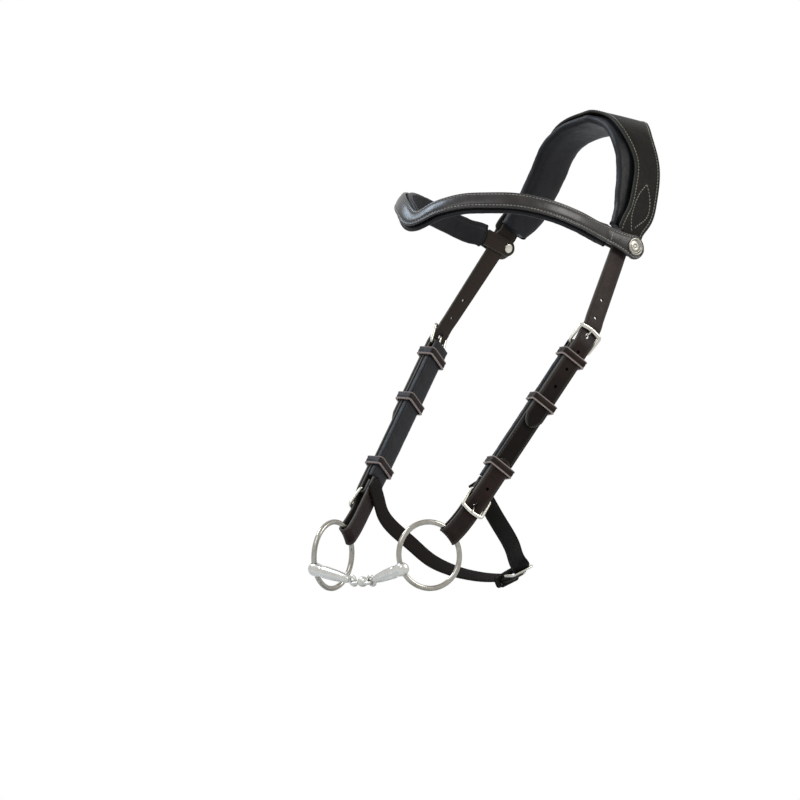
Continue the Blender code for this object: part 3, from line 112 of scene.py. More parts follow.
# Browband
BAND_WIDTH = 0.0155
BAND_THICK = 0.0026
BAND_REACH = 0.1655
BAND_RISE = 0.0408
BAND_PAD_THICK = 0.0064
BAND_PAD_OVERHANG = 0.0028
TAB_WIDTH = 0.0145
TAB_THICK = 0.0020
CROSS_SEAM_CLEARANCE = 0.0086
BAND_TILT = math.radians(10.0)
FLAP_WIDEN_SHARES = (0.2, 0.35, 0.5, 0.6, 0.7, 0.8, 0.9)

# Rows of the browband's route from the front centre: shares of the crossing's half span, of the
# reach forward of the crossing, and of the rise above it, then the outward direction
BAND_ROUTE_SHARES = (
    (0.000, 1.000, 0.483, (0.00, -0.80, 0.60)),
    (0.266, 0.954, 0.723, (0.22, -0.78, 0.58)),
    (0.473, 0.879, 0.858, (0.48, -0.67, 0.55)),
    (0.661, 0.790, 0.887, (0.72, -0.46, 0.50)),
    (0.835, 0.685, 0.880, (0.86, -0.28, 0.44)),
    (0.979, 0.531, 0.755, (0.93, -0.14, 0.36)),
    (1.040, 0.338, 0.498, (0.955, -0.04, 0.29)),
    (1.013, 0.183, 0.260, (0.967, 0.03, 0.24)),
)

# Press stud
SNAP_BACK = 0.0095
NOTCH_PLAY = 0.0005
SNAP_POST_RADIUS = 0.0015
SNAP_SOCKET_RADIUS = 0.0034
SNAP_SOCKET_HEIGHT = 0.0024
SNAP_HEAD_RADIUS = 0.0016
SNAP_PLAY = 0.0005
SNAP_BACK_RADIUS = 0.0042
SNAP_BACK_HEIGHT = 0.0008

# Cheekpiece
CHEEK_TOP_HALF_SPAN = 0.0970
CHEEK_TOP_FORWARD = 0.1296
CHEEK_TOP_DROP = 0.1901
CHEEK_LENGTH = 0.1615
CHEEK_DOWN_DIRECTION = (-0.115, -0.592, -0.797)
CHEEK_TOE_IN = math.radians(18.0)
CHEEK_LINING_WIDTH = 0.0212
CHEEK_RETURN_LENGTH = 0.010
BILLET_LENGTH_BELOW_BAR = 0.086
BILLET_TIP_LENGTH = 0.009
BIT_STRAP_TIP_ABOVE_BAR = 0.037
BIT_STRAP_REACH = 0.0262
BIT_STRAP_TURN = math.radians(11.5)
BIT_STRAP_SEAM_LENGTH = 0.0137

# Keepers
KEEPER_HEIGHT = 0.0072
KEEPER_THICK = 0.0017
KEEPER_CORNER = 0.0018
UPPER_KEEPER_BELOW_BAR = 0.0112
RUNNER_BELOW_BAR = 0.0610
LOWER_KEEPER_ABOVE_BAR = 0.0296
JAW_KEEPER_FROM_BAR = 0.020

# Buckles
BUCKLE_WIRE = 0.0024
BUCKLE_LENGTH = 0.0185
BUCKLE_PLAY = 0.0007
BUCKLE_CORNER = 0.0024
BUCKLE_NOSE_BOW = 0.0010
BUCKLE_TILT_DROP = 0.0042
TONGUE_WIRE = 0.0018
TONGUE_EYE_WIDTH = 0.0030
TONGUE_EYE_THICK = 0.0011
TONGUE_TIP_PAST_NOSE = math.radians(24.0)
TONGUE_HOLE_SHARE = 0.74
BAR_PLAY = 0.0003

# Holes
HOLE_RADIUS = 0.0020
HOLE_PITCH = 0.0190
USED_HOLE_STRETCH_SHARE = 1.65
USED_HOLE_SET_BACK = 0.0008
BILLET_UPPER_HOLE_COUNT = 2
BILLET_LOWER_HOLE_COUNT = 4
JAW_UPPER_HOLE_COUNT = 2
JAW_LOWER_HOLE_COUNT = 1
JAW_HOLE_PITCH = 0.0150

# Jaw strap
JAW_DROP = 0.0730
JAW_BACK = 0.0800
JAW_ANCHOR_ABOVE_BAR = 0.0083
JAW_ANCHOR_FRONT = 0.0080
JAW_LEAVE_SLOPE = 0.42
JAW_FREE_LENGTH = 0.0250
JAW_BILLET_BEYOND_BAR = 0.034
JAW_BAR_SHARE = 0.22
JAW_TIP_SHARES = (0.0, 0.34, 0.67)
JAW_FREE_LEAN_SHARES = (0.0, 0.05, -0.12)
JAW_ROUTE_SHARES = (
    (0.955, 0.520, 0.600, (0.88, 0.10, -0.46)),
    (0.830, 0.715, 0.800, (0.70, 0.24, -0.67)),
    (0.625, 0.865, 0.915, (0.42, 0.33, -0.85)),
    (0.330, 0.965, 0.980, (0.18, 0.37, -0.91)),
    (0.000, 1.000, 1.000, (0.00, 0.38, -0.92)),
)

# Bit
RING_RADIUS = 0.0293
RING_WIRE = 0.0048
RING_PLAY = 0.0004
MOUTH_CONTACT_ANGLE = math.radians(28.0)
BORE_PLAY = 0.0005
BUTT_RADIUS = 0.0062
BUTT_LENGTH = 0.0120
CANNON_RADIUS = 0.0056
CANNON_END_RADIUS = 0.0036
ARM_DROOP = 0.0110
EYE_RADIUS = 0.0042
EYE_WIRE = 0.0030
LINK_HALF_LENGTH = 0.0085
LOZENGE_RADIUS = 0.0046
LOZENGE_HALF_LENGTH = 0.0056

# Surfaces of this script
DENSE_PIECES = 40
STEP = 0.0016
FOLD_PIECES = 22
EDGE_ARC = 0.0009
ARC_POINTS = 4
CREASE_WIDTH = 0.0005
CREASE_DEPTH = 0.00032
CROWN_SWELL = 0.0003
BAND_SWELL = 0.0006
BAND_RAISED = 0.00025
STRAP_CREASE = 0.0019
CROWN_CREASE = 0.0030
BAND_CREASE = 0.0023
CROWN_FAN = 0.032
POINT_FAN_SHARE = 0.42
CROWN_FAN_END = 0.150
ROLL_SHARES = (0.70, 0.70, 0.74, 1.30, 1.56, 1.36, 1.04, 0.28)
LINING_DROP_LENGTH = 0.040
# How deep padded leather sinks between its filling, and the pitch of its folds
PAD_PUCKER = (0.0011, 0.011)
THIN_PUCKER = (0.0005, 0.007)
SPARE_HOLE_RADIUS = 0.0016
FLAP_END_RADIUS = 0.0111
CAP_RADIUS = 0.0079
CAP_HEIGHT = 0.0022
STITCH_PITCH = 0.0031
STITCH_LENGTH = 0.0027
STITCH_RADIUS = 0.0005
STITCH_HEIGHT = STITCH_RADIUS * 0.15
STITCH_SIDES = 6
STITCH_SHARES = (-1.0, -0.8, -0.35, 0.35, 0.8, 1.0)
TIP_STEP = STEP / 3
TIP_NARROW_SHARE = 0.28
STRAP_SWELL = 0.0002
BIT_STRAP_SWELL = 0.0001
END_ROUND = 0.0005
PAD_END_DEPTH = 0.0035
PAD_POINTS = 36
CHEEK_PAD_END = 0.0015
GROOVE_WIDTH = 0.0011
GROOVE_DEPTH = 0.0010
THIN_GROOVE_DEPTH = 0.0007
STUD_FILLET = 0.0003
SOCKET_FILLET = 0.0002
ROUND_END_TURN = math.radians(88.0)
TONGUE_EYE_START = math.radians(118.0)
TONGUE_EYE_TURN = math.radians(296.0)
SWEPT_SMOOTH_ANGLE = math.radians(50.0)
STITCH_SMOOTH_ANGLE = math.radians(70.0)
TURNED_SMOOTH_ANGLE = math.radians(32.0)
WIRE_SMOOTH_ANGLE = math.radians(60.0)
BORED_SMOOTH_ANGLE = math.radians(38.0)

# The stitched leaf that holds a billet: shares of the seam's length down, and of the half width
LEAF_SHARES = (
    ((0.06, -0.05), (0.22, -0.45), (0.38, -0.63), (0.52, -0.62), (0.63, -0.52), (0.72, -0.27), (0.80, 0.0)),
    ((0.06, -0.05), (0.16, 0.22), (0.27, 0.41), (0.42, 0.50), (0.55, 0.40), (0.74, 0.12)),
)

# The concho's outline from its middle: shares of its radius and of its height
CAP_SHARES = (
    (0.0, 0.56), (0.09, 0.55), (0.15, 0.47), (0.22, 0.47), (0.30, 0.54), (0.46, 0.54),
    (0.55, 0.47), (0.62, 0.36), (0.70, 0.36), (0.76, 0.66), (0.84, 0.96), (0.90, 1.00),
    (0.96, 0.88), (1.0, 0.52), (1.0, 0.28), (0.97, 0.06),
)

# A loop's grain side from one edge: shares of the half height and of the half thickness, then how
# far the point is edge and flesh
KEEPER_SHARES = (
    (1.0, -0.9, 0.9, 0.4), (1.02, 0.0, 1.0, 0.0), (1.0, 0.75, 1.0, 0.0), (0.95, 1.25, 1.0, 0.0),
    (0.86, 1.42, 1.0, 0.0), (0.77, 1.18, 0.75, 0.0), (0.70, 0.78, 0.12, 0.0), (0.50, 0.80, 0.0, 0.0),
    (0.25, 0.95, 0.0, 0.0),
)

# Textures, as patterns in a metre and as depths
LEATHER_GRAIN = 1150.0
LINING_GRAIN = 1500.0
DYE_RELIEF = 0.0005
PORE_RELIEF = 0.00004
GRAIN_RELIEF = 0.000015
WRINKLE_RELIEF = 0.00022
DENT_RELIEF = 0.00002
BRUSH_RELIEF = 0.000002
TWIST_RELIEF = 0.00012

# The straps are painted darker downward between these heights: painted shade
SHADE_GRADIENT_TOP = -0.165
SHADE_GRADIENT_BOTTOM = -0.245


def material_nodes(name):
    made = bpy.data.materials.new(name)
    made.use_nodes = True
    tree = made.node_tree
    return made, tree, tree.nodes["Principled BSDF"]


def node(tree, kind, **values):
    """A node with its plain settings and its sockets' values."""
    made = tree.nodes.new(kind)
    for key, value in values.items():
        if key in made.inputs:
            made.inputs[key].default_value = value
        else:
            setattr(made, key, value)
    return made


def texture(tree, kind, scale, stretch=(1.0, 1.0, 1.0), **values):
    """A texture in the object's own coordinates; scale is patterns in a metre."""
    place = tree.nodes.new("ShaderNodeTexCoord")
    turn = node(tree, "ShaderNodeMapping")
    turn.inputs["Scale"].default_value = stretch
    made = node(tree, kind, Scale=scale, **values)
    tree.links.new(place.outputs["Object"], turn.inputs["Vector"])
    tree.links.new(turn.outputs["Vector"], made.inputs["Vector"])
    return made


def noise_of(tree, scale, detail, rough=0.5, stretch=(1.0, 1.0, 1.0)):
    return texture(tree, "ShaderNodeTexNoise", scale, stretch, Detail=detail, Roughness=rough).outputs["Fac"]


def fed(tree, socket, value):
    """Sets a socket to a number or a colour, or links another socket to it."""
    if isinstance(value, float):
        socket.default_value = value
    elif isinstance(value, tuple):
        socket.default_value = value + (1.0,)
    else:
        tree.links.new(value, socket)


def span(tree, source, low, high, to_low=0.0, to_high=1.0):
    """A socket's values from low to high, carried over to another range."""
    made = tree.nodes.new("ShaderNodeMapRange")
    for socket, value in zip(made.inputs, (source, low, high, to_low, to_high)):
        fed(tree, socket, value)
    return made.outputs["Result"]


def math_node(tree, operation, *values):
    made = node(tree, "ShaderNodeMath", operation=operation)
    for socket, value in zip(made.inputs, values):
        fed(tree, socket, value)
    return made.outputs["Value"]


def mixed(tree, share, a, b):
    """One colour over another; each is a colour or a socket."""
    made = node(tree, "ShaderNodeMix", data_type="RGBA")
    for socket, value in ((made.inputs["Factor"], share), (made.inputs[6], a), (made.inputs[7], b)):
        fed(tree, socket, value)
    return made.outputs[2]


def finished(tree, shader, colour, rough, bumps, settings):
    """Feeds a shader its colour, its roughness, stacked bumps of (height, distance) and plain settings."""
    fed(tree, shader.inputs["Base Color"], colour)
    fed(tree, shader.inputs["Roughness"], rough)
    for name, value in settings.items():
        shader.inputs[name].default_value = value
    last = None
    for height, distance in bumps:
        made = node(tree, "ShaderNodeBump", Strength=1.0, Distance=distance)
        tree.links.new(height, made.inputs["Height"])
        if last is not None:
            tree.links.new(last, made.inputs["Normal"])
        last = made.outputs["Normal"]
    if last is not None:
        tree.links.new(last, shader.inputs["Normal"])


def leather_material(name, colour, warm, edge, flesh, rough=0.42, shine=0.35, painted_low_shade=None, relief=1.0):
    """Waxed bridle leather: pores and fine grain, uneven dye, pale edges that are partly burnished and
    partly a painted highlight, a dull flesh side, and optional painted shade lower down.
    """
    made, tree, shader = material_nodes(name)
    cloud = noise_of(tree, 70.0, 4.0, 0.6)
    mottle = noise_of(tree, 420.0, 5.0, 0.7)
    pores = texture(tree, "ShaderNodeTexVoronoi", LEATHER_GRAIN, Randomness=0.95).outputs["Distance"]
    fine = noise_of(tree, LEATHER_GRAIN * 3.0, 3.0, 0.6)
    scuff = noise_of(tree, 260.0, 6.0, 0.8, stretch=(1.0, 0.25, 0.25))
    dye = mixed(tree, span(tree, cloud, 0.35, 0.68), colour, warm)
    dust = tuple(c * 2.0 + 0.004 for c in colour)
    dye = mixed(tree, span(tree, scuff, 0.60, 0.78, 0.0, 0.45), dye, dust)
    # Painted shade: the dye darkens towards the bottom, between the two heights
    if painted_low_shade:
        place = tree.nodes.new("ShaderNodeTexCoord")
        apart = tree.nodes.new("ShaderNodeSeparateXYZ")
        tree.links.new(place.outputs["Object"], apart.inputs["Vector"])
        dye = mixed(tree, span(tree, apart.outputs["Z"], SHADE_GRADIENT_TOP, SHADE_GRADIENT_BOTTOM, 0.0, 0.92), dye, painted_low_shade)
    at_edge = node(tree, "ShaderNodeAttribute", attribute_name="edge").outputs["Fac"]
    at_flesh = node(tree, "ShaderNodeAttribute", attribute_name="flesh").outputs["Fac"]
    # Pale edges: partly burnished wear, partly a painted highlight along edges that catch light
    edge_wear_and_highlight = math_node(tree, "MULTIPLY", at_edge, span(tree, mottle, 0.25, 0.75, 0.55, 1.0))
    dye = mixed(tree, at_flesh, mixed(tree, edge_wear_and_highlight, dye, edge), flesh)
    base = span(tree, mottle, 0.3, 0.7, rough - 0.07 * relief, rough + 0.10 * relief)
    dull = math_node(tree, "MULTIPLY_ADD", at_flesh, 0.35, base)
    bumps = ((cloud, DYE_RELIEF), (pores, PORE_RELIEF * relief), (fine, GRAIN_RELIEF * relief))
    settings = {"Specular IOR Level": shine, "Sheen Weight": 0.008, "Sheen Roughness": 0.5}
    finished(tree, shader, dye, dull, bumps, settings)
    return made


def lining_material(name, colour, cool):
    """Soft padded leather: finer grain, shallow creases and a cool sheen."""
    made, tree, shader = material_nodes(name)
    cloud = noise_of(tree, 55.0, 4.0, 0.6)
    pores = texture(tree, "ShaderNodeTexVoronoi", LINING_GRAIN, Randomness=0.9).outputs["Distance"]
    wrinkle = noise_of(tree, 240.0, 6.0, 0.75, stretch=(1.0, 1.0, 0.5))
    dye = mixed(tree, span(tree, cloud, 0.35, 0.65), colour, cool)
    rough = span(tree, wrinkle, 0.3, 0.7, 0.40, 0.56)
    settings = {
        "Specular IOR Level": 0.18,
        "Sheen Weight": 0.020,
        "Sheen Roughness": 0.4,
        "Sheen Tint": (0.72, 0.80, 1.0, 1.0),
    }
    finished(tree, shader, dye, rough, ((wrinkle, WRINKLE_RELIEF), (pores, PORE_RELIEF)), settings)
    return made


def steel_material(name, colour, tarnish, rough):
    """Satin stainless steel with handling marks and duller patches."""
    made, tree, shader = material_nodes(name)
    patch = noise_of(tree, 160.0, 5.0, 0.65)
    brushed = noise_of(tree, 900.0, 5.0, 0.7, stretch=(1.0, 1.0, 0.12))
    shade = mixed(tree, span(tree, patch, 0.38, 0.70), colour, tarnish)
    worn = span(tree, brushed, 0.3, 0.7, rough - 0.05, rough + 0.12)
    finished(tree, shader, shade, worn, ((patch, DENT_RELIEF), (brushed, BRUSH_RELIEF)), {"Metallic": 1.0})
    return made


def thread_material(name, colour, shade):
    """Waxed linen thread with its twist."""
    made, tree, shader = material_nodes(name)
    soiled = noise_of(tree, 120.0, 3.0)
    twist = noise_of(tree, 3200.0, 2.0)
    dye = mixed(tree, span(tree, soiled, 0.35, 0.70), colour, shade)
    finished(tree, shader, dye, span(tree, twist, 0.3, 0.7, 0.62, 0.85), ((twist, TWIST_RELIEF),), {})
    return made


# Each leather's third colour is its edges': burnished wear and, where pale, a painted highlight
HEAD_LEATHER = leather_material(
    "headpiece_leather", (0.0042, 0.0040, 0.0030), (0.0085, 0.0074, 0.0054),
    (0.050, 0.050, 0.042), (0.022, 0.018, 0.015), rough=0.50, shine=0.06
)
BAND_LEATHER = leather_material(
    "browband_leather", (0.0085, 0.0076, 0.0072), (0.0230, 0.0182, 0.0160),
    (0.010, 0.009, 0.009), (0.022, 0.018, 0.015), rough=0.33, shine=0.38, relief=0.3
)
# Its last colour is painted shade, darker towards the bottom
STRAP_LEATHER = leather_material(
    "strap_leather", (0.0150, 0.0112, 0.0105), (0.0265, 0.0170, 0.0140),
    (0.135, 0.128, 0.115), (0.026, 0.020, 0.016), shine=0.07, painted_low_shade=(0.0034, 0.0022, 0.0016)
)
BIT_LEATHER = leather_material(
    "bit_strap_leather", (0.0070, 0.0044, 0.0036), (0.0170, 0.0085, 0.0068),
    (0.120, 0.112, 0.100), (0.026, 0.020, 0.016), shine=0.09
)
KEEPER_LEATHER = leather_material(
    "keeper_leather", (0.0070, 0.0042, 0.0032), (0.0160, 0.0085, 0.0065),
    (0.34, 0.28, 0.26), (0.022, 0.016, 0.013), shine=0.11
)
JAW_LEATHER = leather_material(
    "jaw_strap_leather", (0.0028, 0.0026, 0.0022), (0.0048, 0.0042, 0.0036),
    (0.015, 0.014, 0.012), (0.012, 0.010, 0.009), rough=0.55, shine=0.06
)
SOFT_LINING = lining_material("lining_leather", (0.0034, 0.0035, 0.0042), (0.0068, 0.0071, 0.0090))
BUCKLE_STEEL = steel_material("buckle_steel", (0.56, 0.54, 0.48), (0.46, 0.44, 0.38), rough=0.20)
CONCHO_STEEL = steel_material("concho_steel", (0.29, 0.28, 0.25), (0.20, 0.19, 0.165), rough=0.28)
# Painted reflection: the ring's steel is a darker copy of the bit's steel, standing in for the dark
# surroundings it mirrors
DARKENED_RING_STEEL = steel_material("ring_steel", (0.34, 0.325, 0.29), (0.26, 0.245, 0.21), rough=0.17)
BIT_STEEL = steel_material("bit_steel", (0.55, 0.54, 0.51), (0.48, 0.47, 0.43), rough=0.20)
THREAD = thread_material("linen_thread", (0.185, 0.18, 0.155), (0.10, 0.097, 0.083))
BAND_THREAD = thread_material("browband_thread", (0.25, 0.24, 0.225), (0.14, 0.135, 0.12))
DARK_THREAD = thread_material("dark_thread", (0.014, 0.012, 0.010), (0.007, 0.006, 0.005))


def mirrored(vector, side):
    return Vector((vector[0] * side, vector[1], vector[2]))


def axes(x, y, z):
    return Matrix((x, y, z)).transposed().to_4x4()


def frame_of(origin, outward, up):
    """A placement whose x points outward, z up the strap and y across it."""
    z = Vector(up).normalized()
    outward = Vector(outward)
    x = (outward - outward.dot(z) * z).normalized()
    return Matrix.Translation(origin) @ axes(x, z.cross(x), z)


def aimed(place, x, y, z):
    """A direction of a placement."""
    return place.to_3x3() @ Vector((x, y, z))


def clamped(share):
    return min(max(share, 0.0), 1.0)


def eased(share):
    """A share that starts and ends gently."""
    return share * share * (3 - 2 * share)


def distances(points):
    """How far along a path each of its points lies."""
    return list(accumulate(((b - a).length for a, b in zip(points, points[1:])), initial=0.0))


def spot_on(lengths, distance):
    """The piece of a path that a distance falls in, and the share of that piece before it."""
    low = max(0, min(bisect_right(lengths, distance) - 1, len(lengths) - 2))
    return low, (distance - lengths[low]) / max(lengths[low + 1] - lengths[low], 1e-9)


class Route:
    """A smooth path through controls of point, outward direction and width."""

    def __init__(self, controls, start=None, end=None, fan=0.0, fan_end=0.0):
        points = [Vector(c[0]) for c in controls]
        values = [tuple(p) + tuple(Vector(c[1]).normalized()) + (c[2],) for p, c in zip(points, controls)]
        spans = [(b - a).length for a, b in zip(points, points[1:])]
        slopes = self.slopes(values, spans, start, end)
        self.points, self.outs, self.widths = [], [], []
        for i, gap in enumerate(spans):
            for j in range(DENSE_PIECES + (i == len(spans) - 1)):
                row = self.hermite(values[i], values[i + 1], slopes[i], slopes[i + 1], gap, j / DENSE_PIECES)
                self.points.append(Vector(row[0:3]))
                self.outs.append(Vector(row[3:6]).normalized())
                self.widths.append(row[6])
        self.lengths = distances(self.points)
        self.length = self.lengths[-1]
        self.controls = self.lengths[::DENSE_PIECES]
        ends = list(zip(self.points[:1] + self.points[:-1], self.points[1:] + self.points[-1:]))
        self.ways = [(after - before).normalized() for before, after in ends]
        if fan:
            reaches = [min(fan, max(0.0, fan_end - length)) for length in self.lengths]
            near = [reach * POINT_FAN_SHARE for reach in reaches]
            self.points = [self.evened(self.points, i, r, -1) for i, r in enumerate(near)]
            self.outs = [self.evened(self.outs, i, r, -1).normalized() for i, r in enumerate(reaches)]
            self.ways = [self.evened(self.ways, i, r, 1).normalized() for i, r in enumerate(reaches)]

    def evened(self, vectors, i, reach, keep):
        """The mean of vectors within a reach, on a route that is mirrored at its start."""
        here = self.lengths[i]
        total, count = vectors[i].copy(), 1
        for vector, length in zip(vectors, self.lengths):
            if abs(length - here) < reach:
                total += vector
                count += 1
            if length + here < reach:
                total += Vector((vector.x * keep, -vector.y * keep, -vector.z * keep))
                count += 1
        return total / count

    @staticmethod
    def slopes(values, spans, start, end):
        rates = [[(b - a) / gap for a, b in zip(v, w)] for v, w, gap in zip(values, values[1:], spans)]
        found = [rates[0]]
        for i in range(1, len(values) - 1):
            before, after = spans[i - 1], spans[i]
            pairs = zip(rates[i - 1], rates[i])
            found.append([(r * after + s * before) / (before + after) for r, s in pairs])
        found.append(rates[-1])
        if start is not None:
            found[0] = list(start) + [0.0] * 4
        if end is not None:
            found[-1] = list(end) + [0.0] * 4
        return found

    @staticmethod
    def hermite(a, b, slope_a, slope_b, gap, t):
        h00 = 2 * t**3 - 3 * t**2 + 1
        h10 = (t**3 - 2 * t**2 + t) * gap
        h01 = 3 * t**2 - 2 * t**3
        h11 = (t**3 - t**2) * gap
        return [h00 * p + h10 * m + h01 * q + h11 * n for p, q, m, n in zip(a, b, slope_a, slope_b)]

    def at(self, distance):
        """Point, direction along, direction across, outward direction and width at a distance."""
        low, t = spot_on(self.lengths, min(max(distance, 0.0), self.length))
        along = (self.ways[low] * (1 - t) + self.ways[low + 1] * t).normalized()
        point = self.points[low].lerp(self.points[low + 1], t)
        across = self.outs[low].lerp(self.outs[low + 1], t).cross(along).normalized()
        width = self.widths[low] * (1 - t) + self.widths[low + 1] * t
        return point, along, across, along.cross(across), width

    def nearest(self, point):
        best = min(range(len(self.points)), key=lambda i: (self.points[i] - point).length)
        return self.lengths[best]

    def rows(self, start, end, lift=0.0, shift=0.0, width=None, step=STEP):
        """Rows of centre, half-width vector and outward direction at even distances."""
        count = max(2, round((end - start) / step))
        made = []
        for i in range(count + 1):
            distance = start + (end - start) * i / count
            point, along, across, out, own = self.at(distance)
            raised = lift(distance) if callable(lift) else lift
            moved = shift(distance) if callable(shift) else shift
            wide = own if width is None else width(distance)
            made.append((point + out * raised + across * moved, across * wide / 2, out))
        return made


def oriented(rows, sign=1.0):
    """Rows of centre and half-width vector, given their outward direction."""
    made = []
    for i, (centre, half) in enumerate(rows):
        along = (rows[min(i + 1, len(rows) - 1)][0] - rows[max(i - 1, 0)][0]).normalized()
        out = along.cross(half).normalized() * sign
        made.append((centre, half, out))
    return made


def refined(rows, step=STEP, ease=0, fixed=lambda i: False):
    """More rows of centre and half-width vector between those given, with their kinks eased."""
    made, marks = [], []
    for i, ((a, half_a), (b, half_b)) in enumerate(zip(rows, rows[1:])):
        count = max(1, math.ceil((b - a).length / step))
        for j in range(count):
            made.append((a.lerp(b, j / count), half_a.lerp(half_b, j / count)))
            marks.append(fixed(i) or (j == 0 and i > 0 and fixed(i - 1)))
    made.append(rows[-1])
    marks.append(True)
    marks[0] = True
    for _ in range(ease):
        around = zip(marks, made[:1] + made[:-1], made, made[1:] + made[-1:])
        made = [
            row if mark else tuple((before[k] + row[k] * 2 + after[k]) / 4 for k in (0, 1))
            for mark, before, row, after in around
        ]
    return made


def swollen(share, swell, raised):
    """The height of a strap's grain side at a share of the way to its creases."""
    return swell * (1 - share**2) + raised * min(1.0, (1 - abs(share)) * 5)


def strap_section(thick, crease=STRAP_CREASE, swell=0.0, raised=0.0):
    """The section of a strap: rounded edges, a crease near each and a slightly swollen grain side."""
    bend = min(EDGE_ARC, thick * 0.46)
    top = thick / 2

    def made(half):
        shrink = min(1.0, half / (crease + CREASE_WIDTH + EDGE_ARC))
        side = []
        for j in range(ARC_POINTS):
            share = j / (ARC_POINTS - 1)
            angle = math.pi / 2 * share
            place = half - bend * shrink * (1 - math.cos(angle))
            side.append((place, top - bend * (1 - math.sin(angle)), 1.0 - 0.85 * share, share))
        inner = half - (crease + CREASE_WIDTH) * shrink
        points = [(a, h, e, 0.0) for a, h, e, f in side]
        points += [
            (half - (crease - CREASE_WIDTH) * shrink, top, 0.10, 0.0),
            (half - crease * shrink, top - CREASE_DEPTH * shrink, 0.35, 0.0),
            (inner, top, 0.06, 0.0),
        ]
        for share in (0.80, 0.45, 0.0):
            points.append((inner * share, top + swollen(share, swell, raised) * shrink, 0.0, 0.0))
        grain = [(-a, h, e, f) for a, h, e, f in points[:-1]] + points[::-1]
        under = [(a, -h, e, f) for a, h, e, f in side[1:]]
        return grain + under + [(0.0, -top, 0.0, 1.0)] + [(-a, h, e, f) for a, h, e, f in under[::-1]]

    return made


def pad_section(thick, power, grooves=(), groove_depth=GROOVE_DEPTH):
    """The section of a padded roll, with sewn grooves at places counted from its middle."""

    def made(half):
        points = []
        for i in range(PAD_POINTS):
            angle = math.pi - 2 * math.pi * i / PAD_POINTS
            c, s = math.cos(angle), math.sin(angle)
            a = half * math.copysign(abs(c) ** (2 / power), c)
            h = thick / 2 * math.copysign(abs(s) ** (2 / power), s)
            for place in grooves:
                h -= math.copysign(groove_depth, h) * math.exp(-(((a - place * half) / GROOVE_WIDTH) ** 2))
            points.append((a, h, 0.0, 0.0))
        return points

    return made


def cleaned(mesh, outward=False):
    """Joins points that coincide, and turns the faces outward."""
    fixed = bmesh.new()
    fixed.from_mesh(mesh)
    bmesh.ops.remove_doubles(fixed, verts=fixed.verts, dist=MERGE)
    if outward:
        bmesh.ops.recalc_face_normals(fixed, faces=fixed.faces)
    fixed.to_mesh(mesh)
    fixed.free()


def mesh_object(name, points, faces, body, material, smooth_angle, attributes=None):
    mesh = bpy.data.meshes.new(name)
    mesh.from_pydata(points, [], faces)
    for key, values in (attributes or {}).items():
        mesh.attributes.new(key, "FLOAT", "POINT").data.foreach_set("value", values)
    obj = bpy.data.objects.new(name, mesh)
    bpy.context.scene.collection.objects.link(obj)
    cleaned(mesh, outward=True)
    mesh.shade_smooth()
    mesh.set_sharp_from_angle(angle=smooth_angle)
    mesh.materials.append(material)
    if body:
        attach(obj, body)
    return obj


def dressed(obj, node_name):
    """Hides the solid whose place a piece takes."""
    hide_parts(node_name)


def shell(rings, sides, loop=False, start=0):
    """The faces round a number of rings of points, closed flat at both ends unless they loop."""
    faces = []
    for i in range(rings if loop else rings - 1):
        here, there = start + i * sides, start + (i + 1) % rings * sides
        for j in range(sides):
            k = (j + 1) % sides
            faces.append((here + j, here + k, there + k, there + j))
    if not loop:
        faces += [tuple(range(first, first + sides)) for first in (start, start + (rings - 1) * sides)]
    return faces


def ring_points(centre, across, up, wide, high, sides):
    angles = [2 * math.pi * j / sides for j in range(sides)]
    return [centre + across * wide * math.cos(angle) + up * high * math.sin(angle) for angle in angles]


def sweep(name, rows, section, body, material, loop=False, swells=None):
    """A strap or pad: its section carried along rows of centre, half-width vector and outward direction."""
    points, edge, flesh = [], [], []
    for i, (centre, half, out) in enumerate(rows):
        across = half.normalized()
        ring = section(half.length)
        scale = swells[i] if swells else 1.0
        for a, h, e, f in ring:
            points.append(centre + across * a + out * h * scale)
            edge.append(e)
            flesh.append(f)
    faces = shell(len(rows), len(ring), loop)
    attributes = {"edge": edge, "flesh": flesh}
    return mesh_object(name, points, faces, body, material, SWEPT_SMOOTH_ANGLE, attributes)


def puckered(obj, depth, pitch):
    """Leather drawn over soft filling: the surface sinks unevenly, up to a depth, in folds of a pitch."""
    for vertex in obj.data.vertices:
        place = vertex.co / pitch
        sunk = 0.5 + 0.4 * noise.noise(place) + 0.2 * noise.noise(place * 2.7)
        vertex.co -= vertex.normal * depth * clamped(sunk)


def closed_end(rows):
    """Rows with their ends rounded over: a slightly narrower row just past each end."""

    def past(row, before):
        centre, half, out = row
        along = (centre - before[0]).normalized()
        return centre + along * END_ROUND, half * max(0.5, 1 - END_ROUND / half.length), out

    return [past(rows[0], rows[1]), *rows, past(rows[-1], rows[-2])]


def strap(name, rows, leather, swell=STRAP_SWELL):
    """A strap of the common thickness, with its ends rounded over."""
    return sweep(name, closed_end(rows), strap_section(STRAP_THICK, swell=swell), "bridle", leather)


def cut(obj, tools, operation="DIFFERENCE"):
    """Cuts the tools out of a piece, or joins them to it, and removes them."""
    for tool in tools:
        made = obj.modifiers.new("cut", "BOOLEAN")
        made.object = tool
        made.operation = operation
        made.solver = "EXACT"
    bpy.context.view_layer.update()
    mesh = bpy.data.meshes.new_from_object(obj.evaluated_get(bpy.context.evaluated_depsgraph_get()))
    obj.modifiers.clear()
    obj.data = mesh
    for tool in tools:
        bpy.data.objects.remove(tool, do_unlink=True)
    cleaned(mesh)
    mesh.set_sharp_from_angle(angle=SWEPT_SMOOTH_ANGLE)


def placed(matrix, stretch=1.0):
    """The primitive just made, drawn out along its own x and put in its place."""
    obj = bpy.context.active_object
    for vertex in obj.data.vertices:
        vertex.co.x *= stretch
    obj.matrix_world = matrix
    return obj


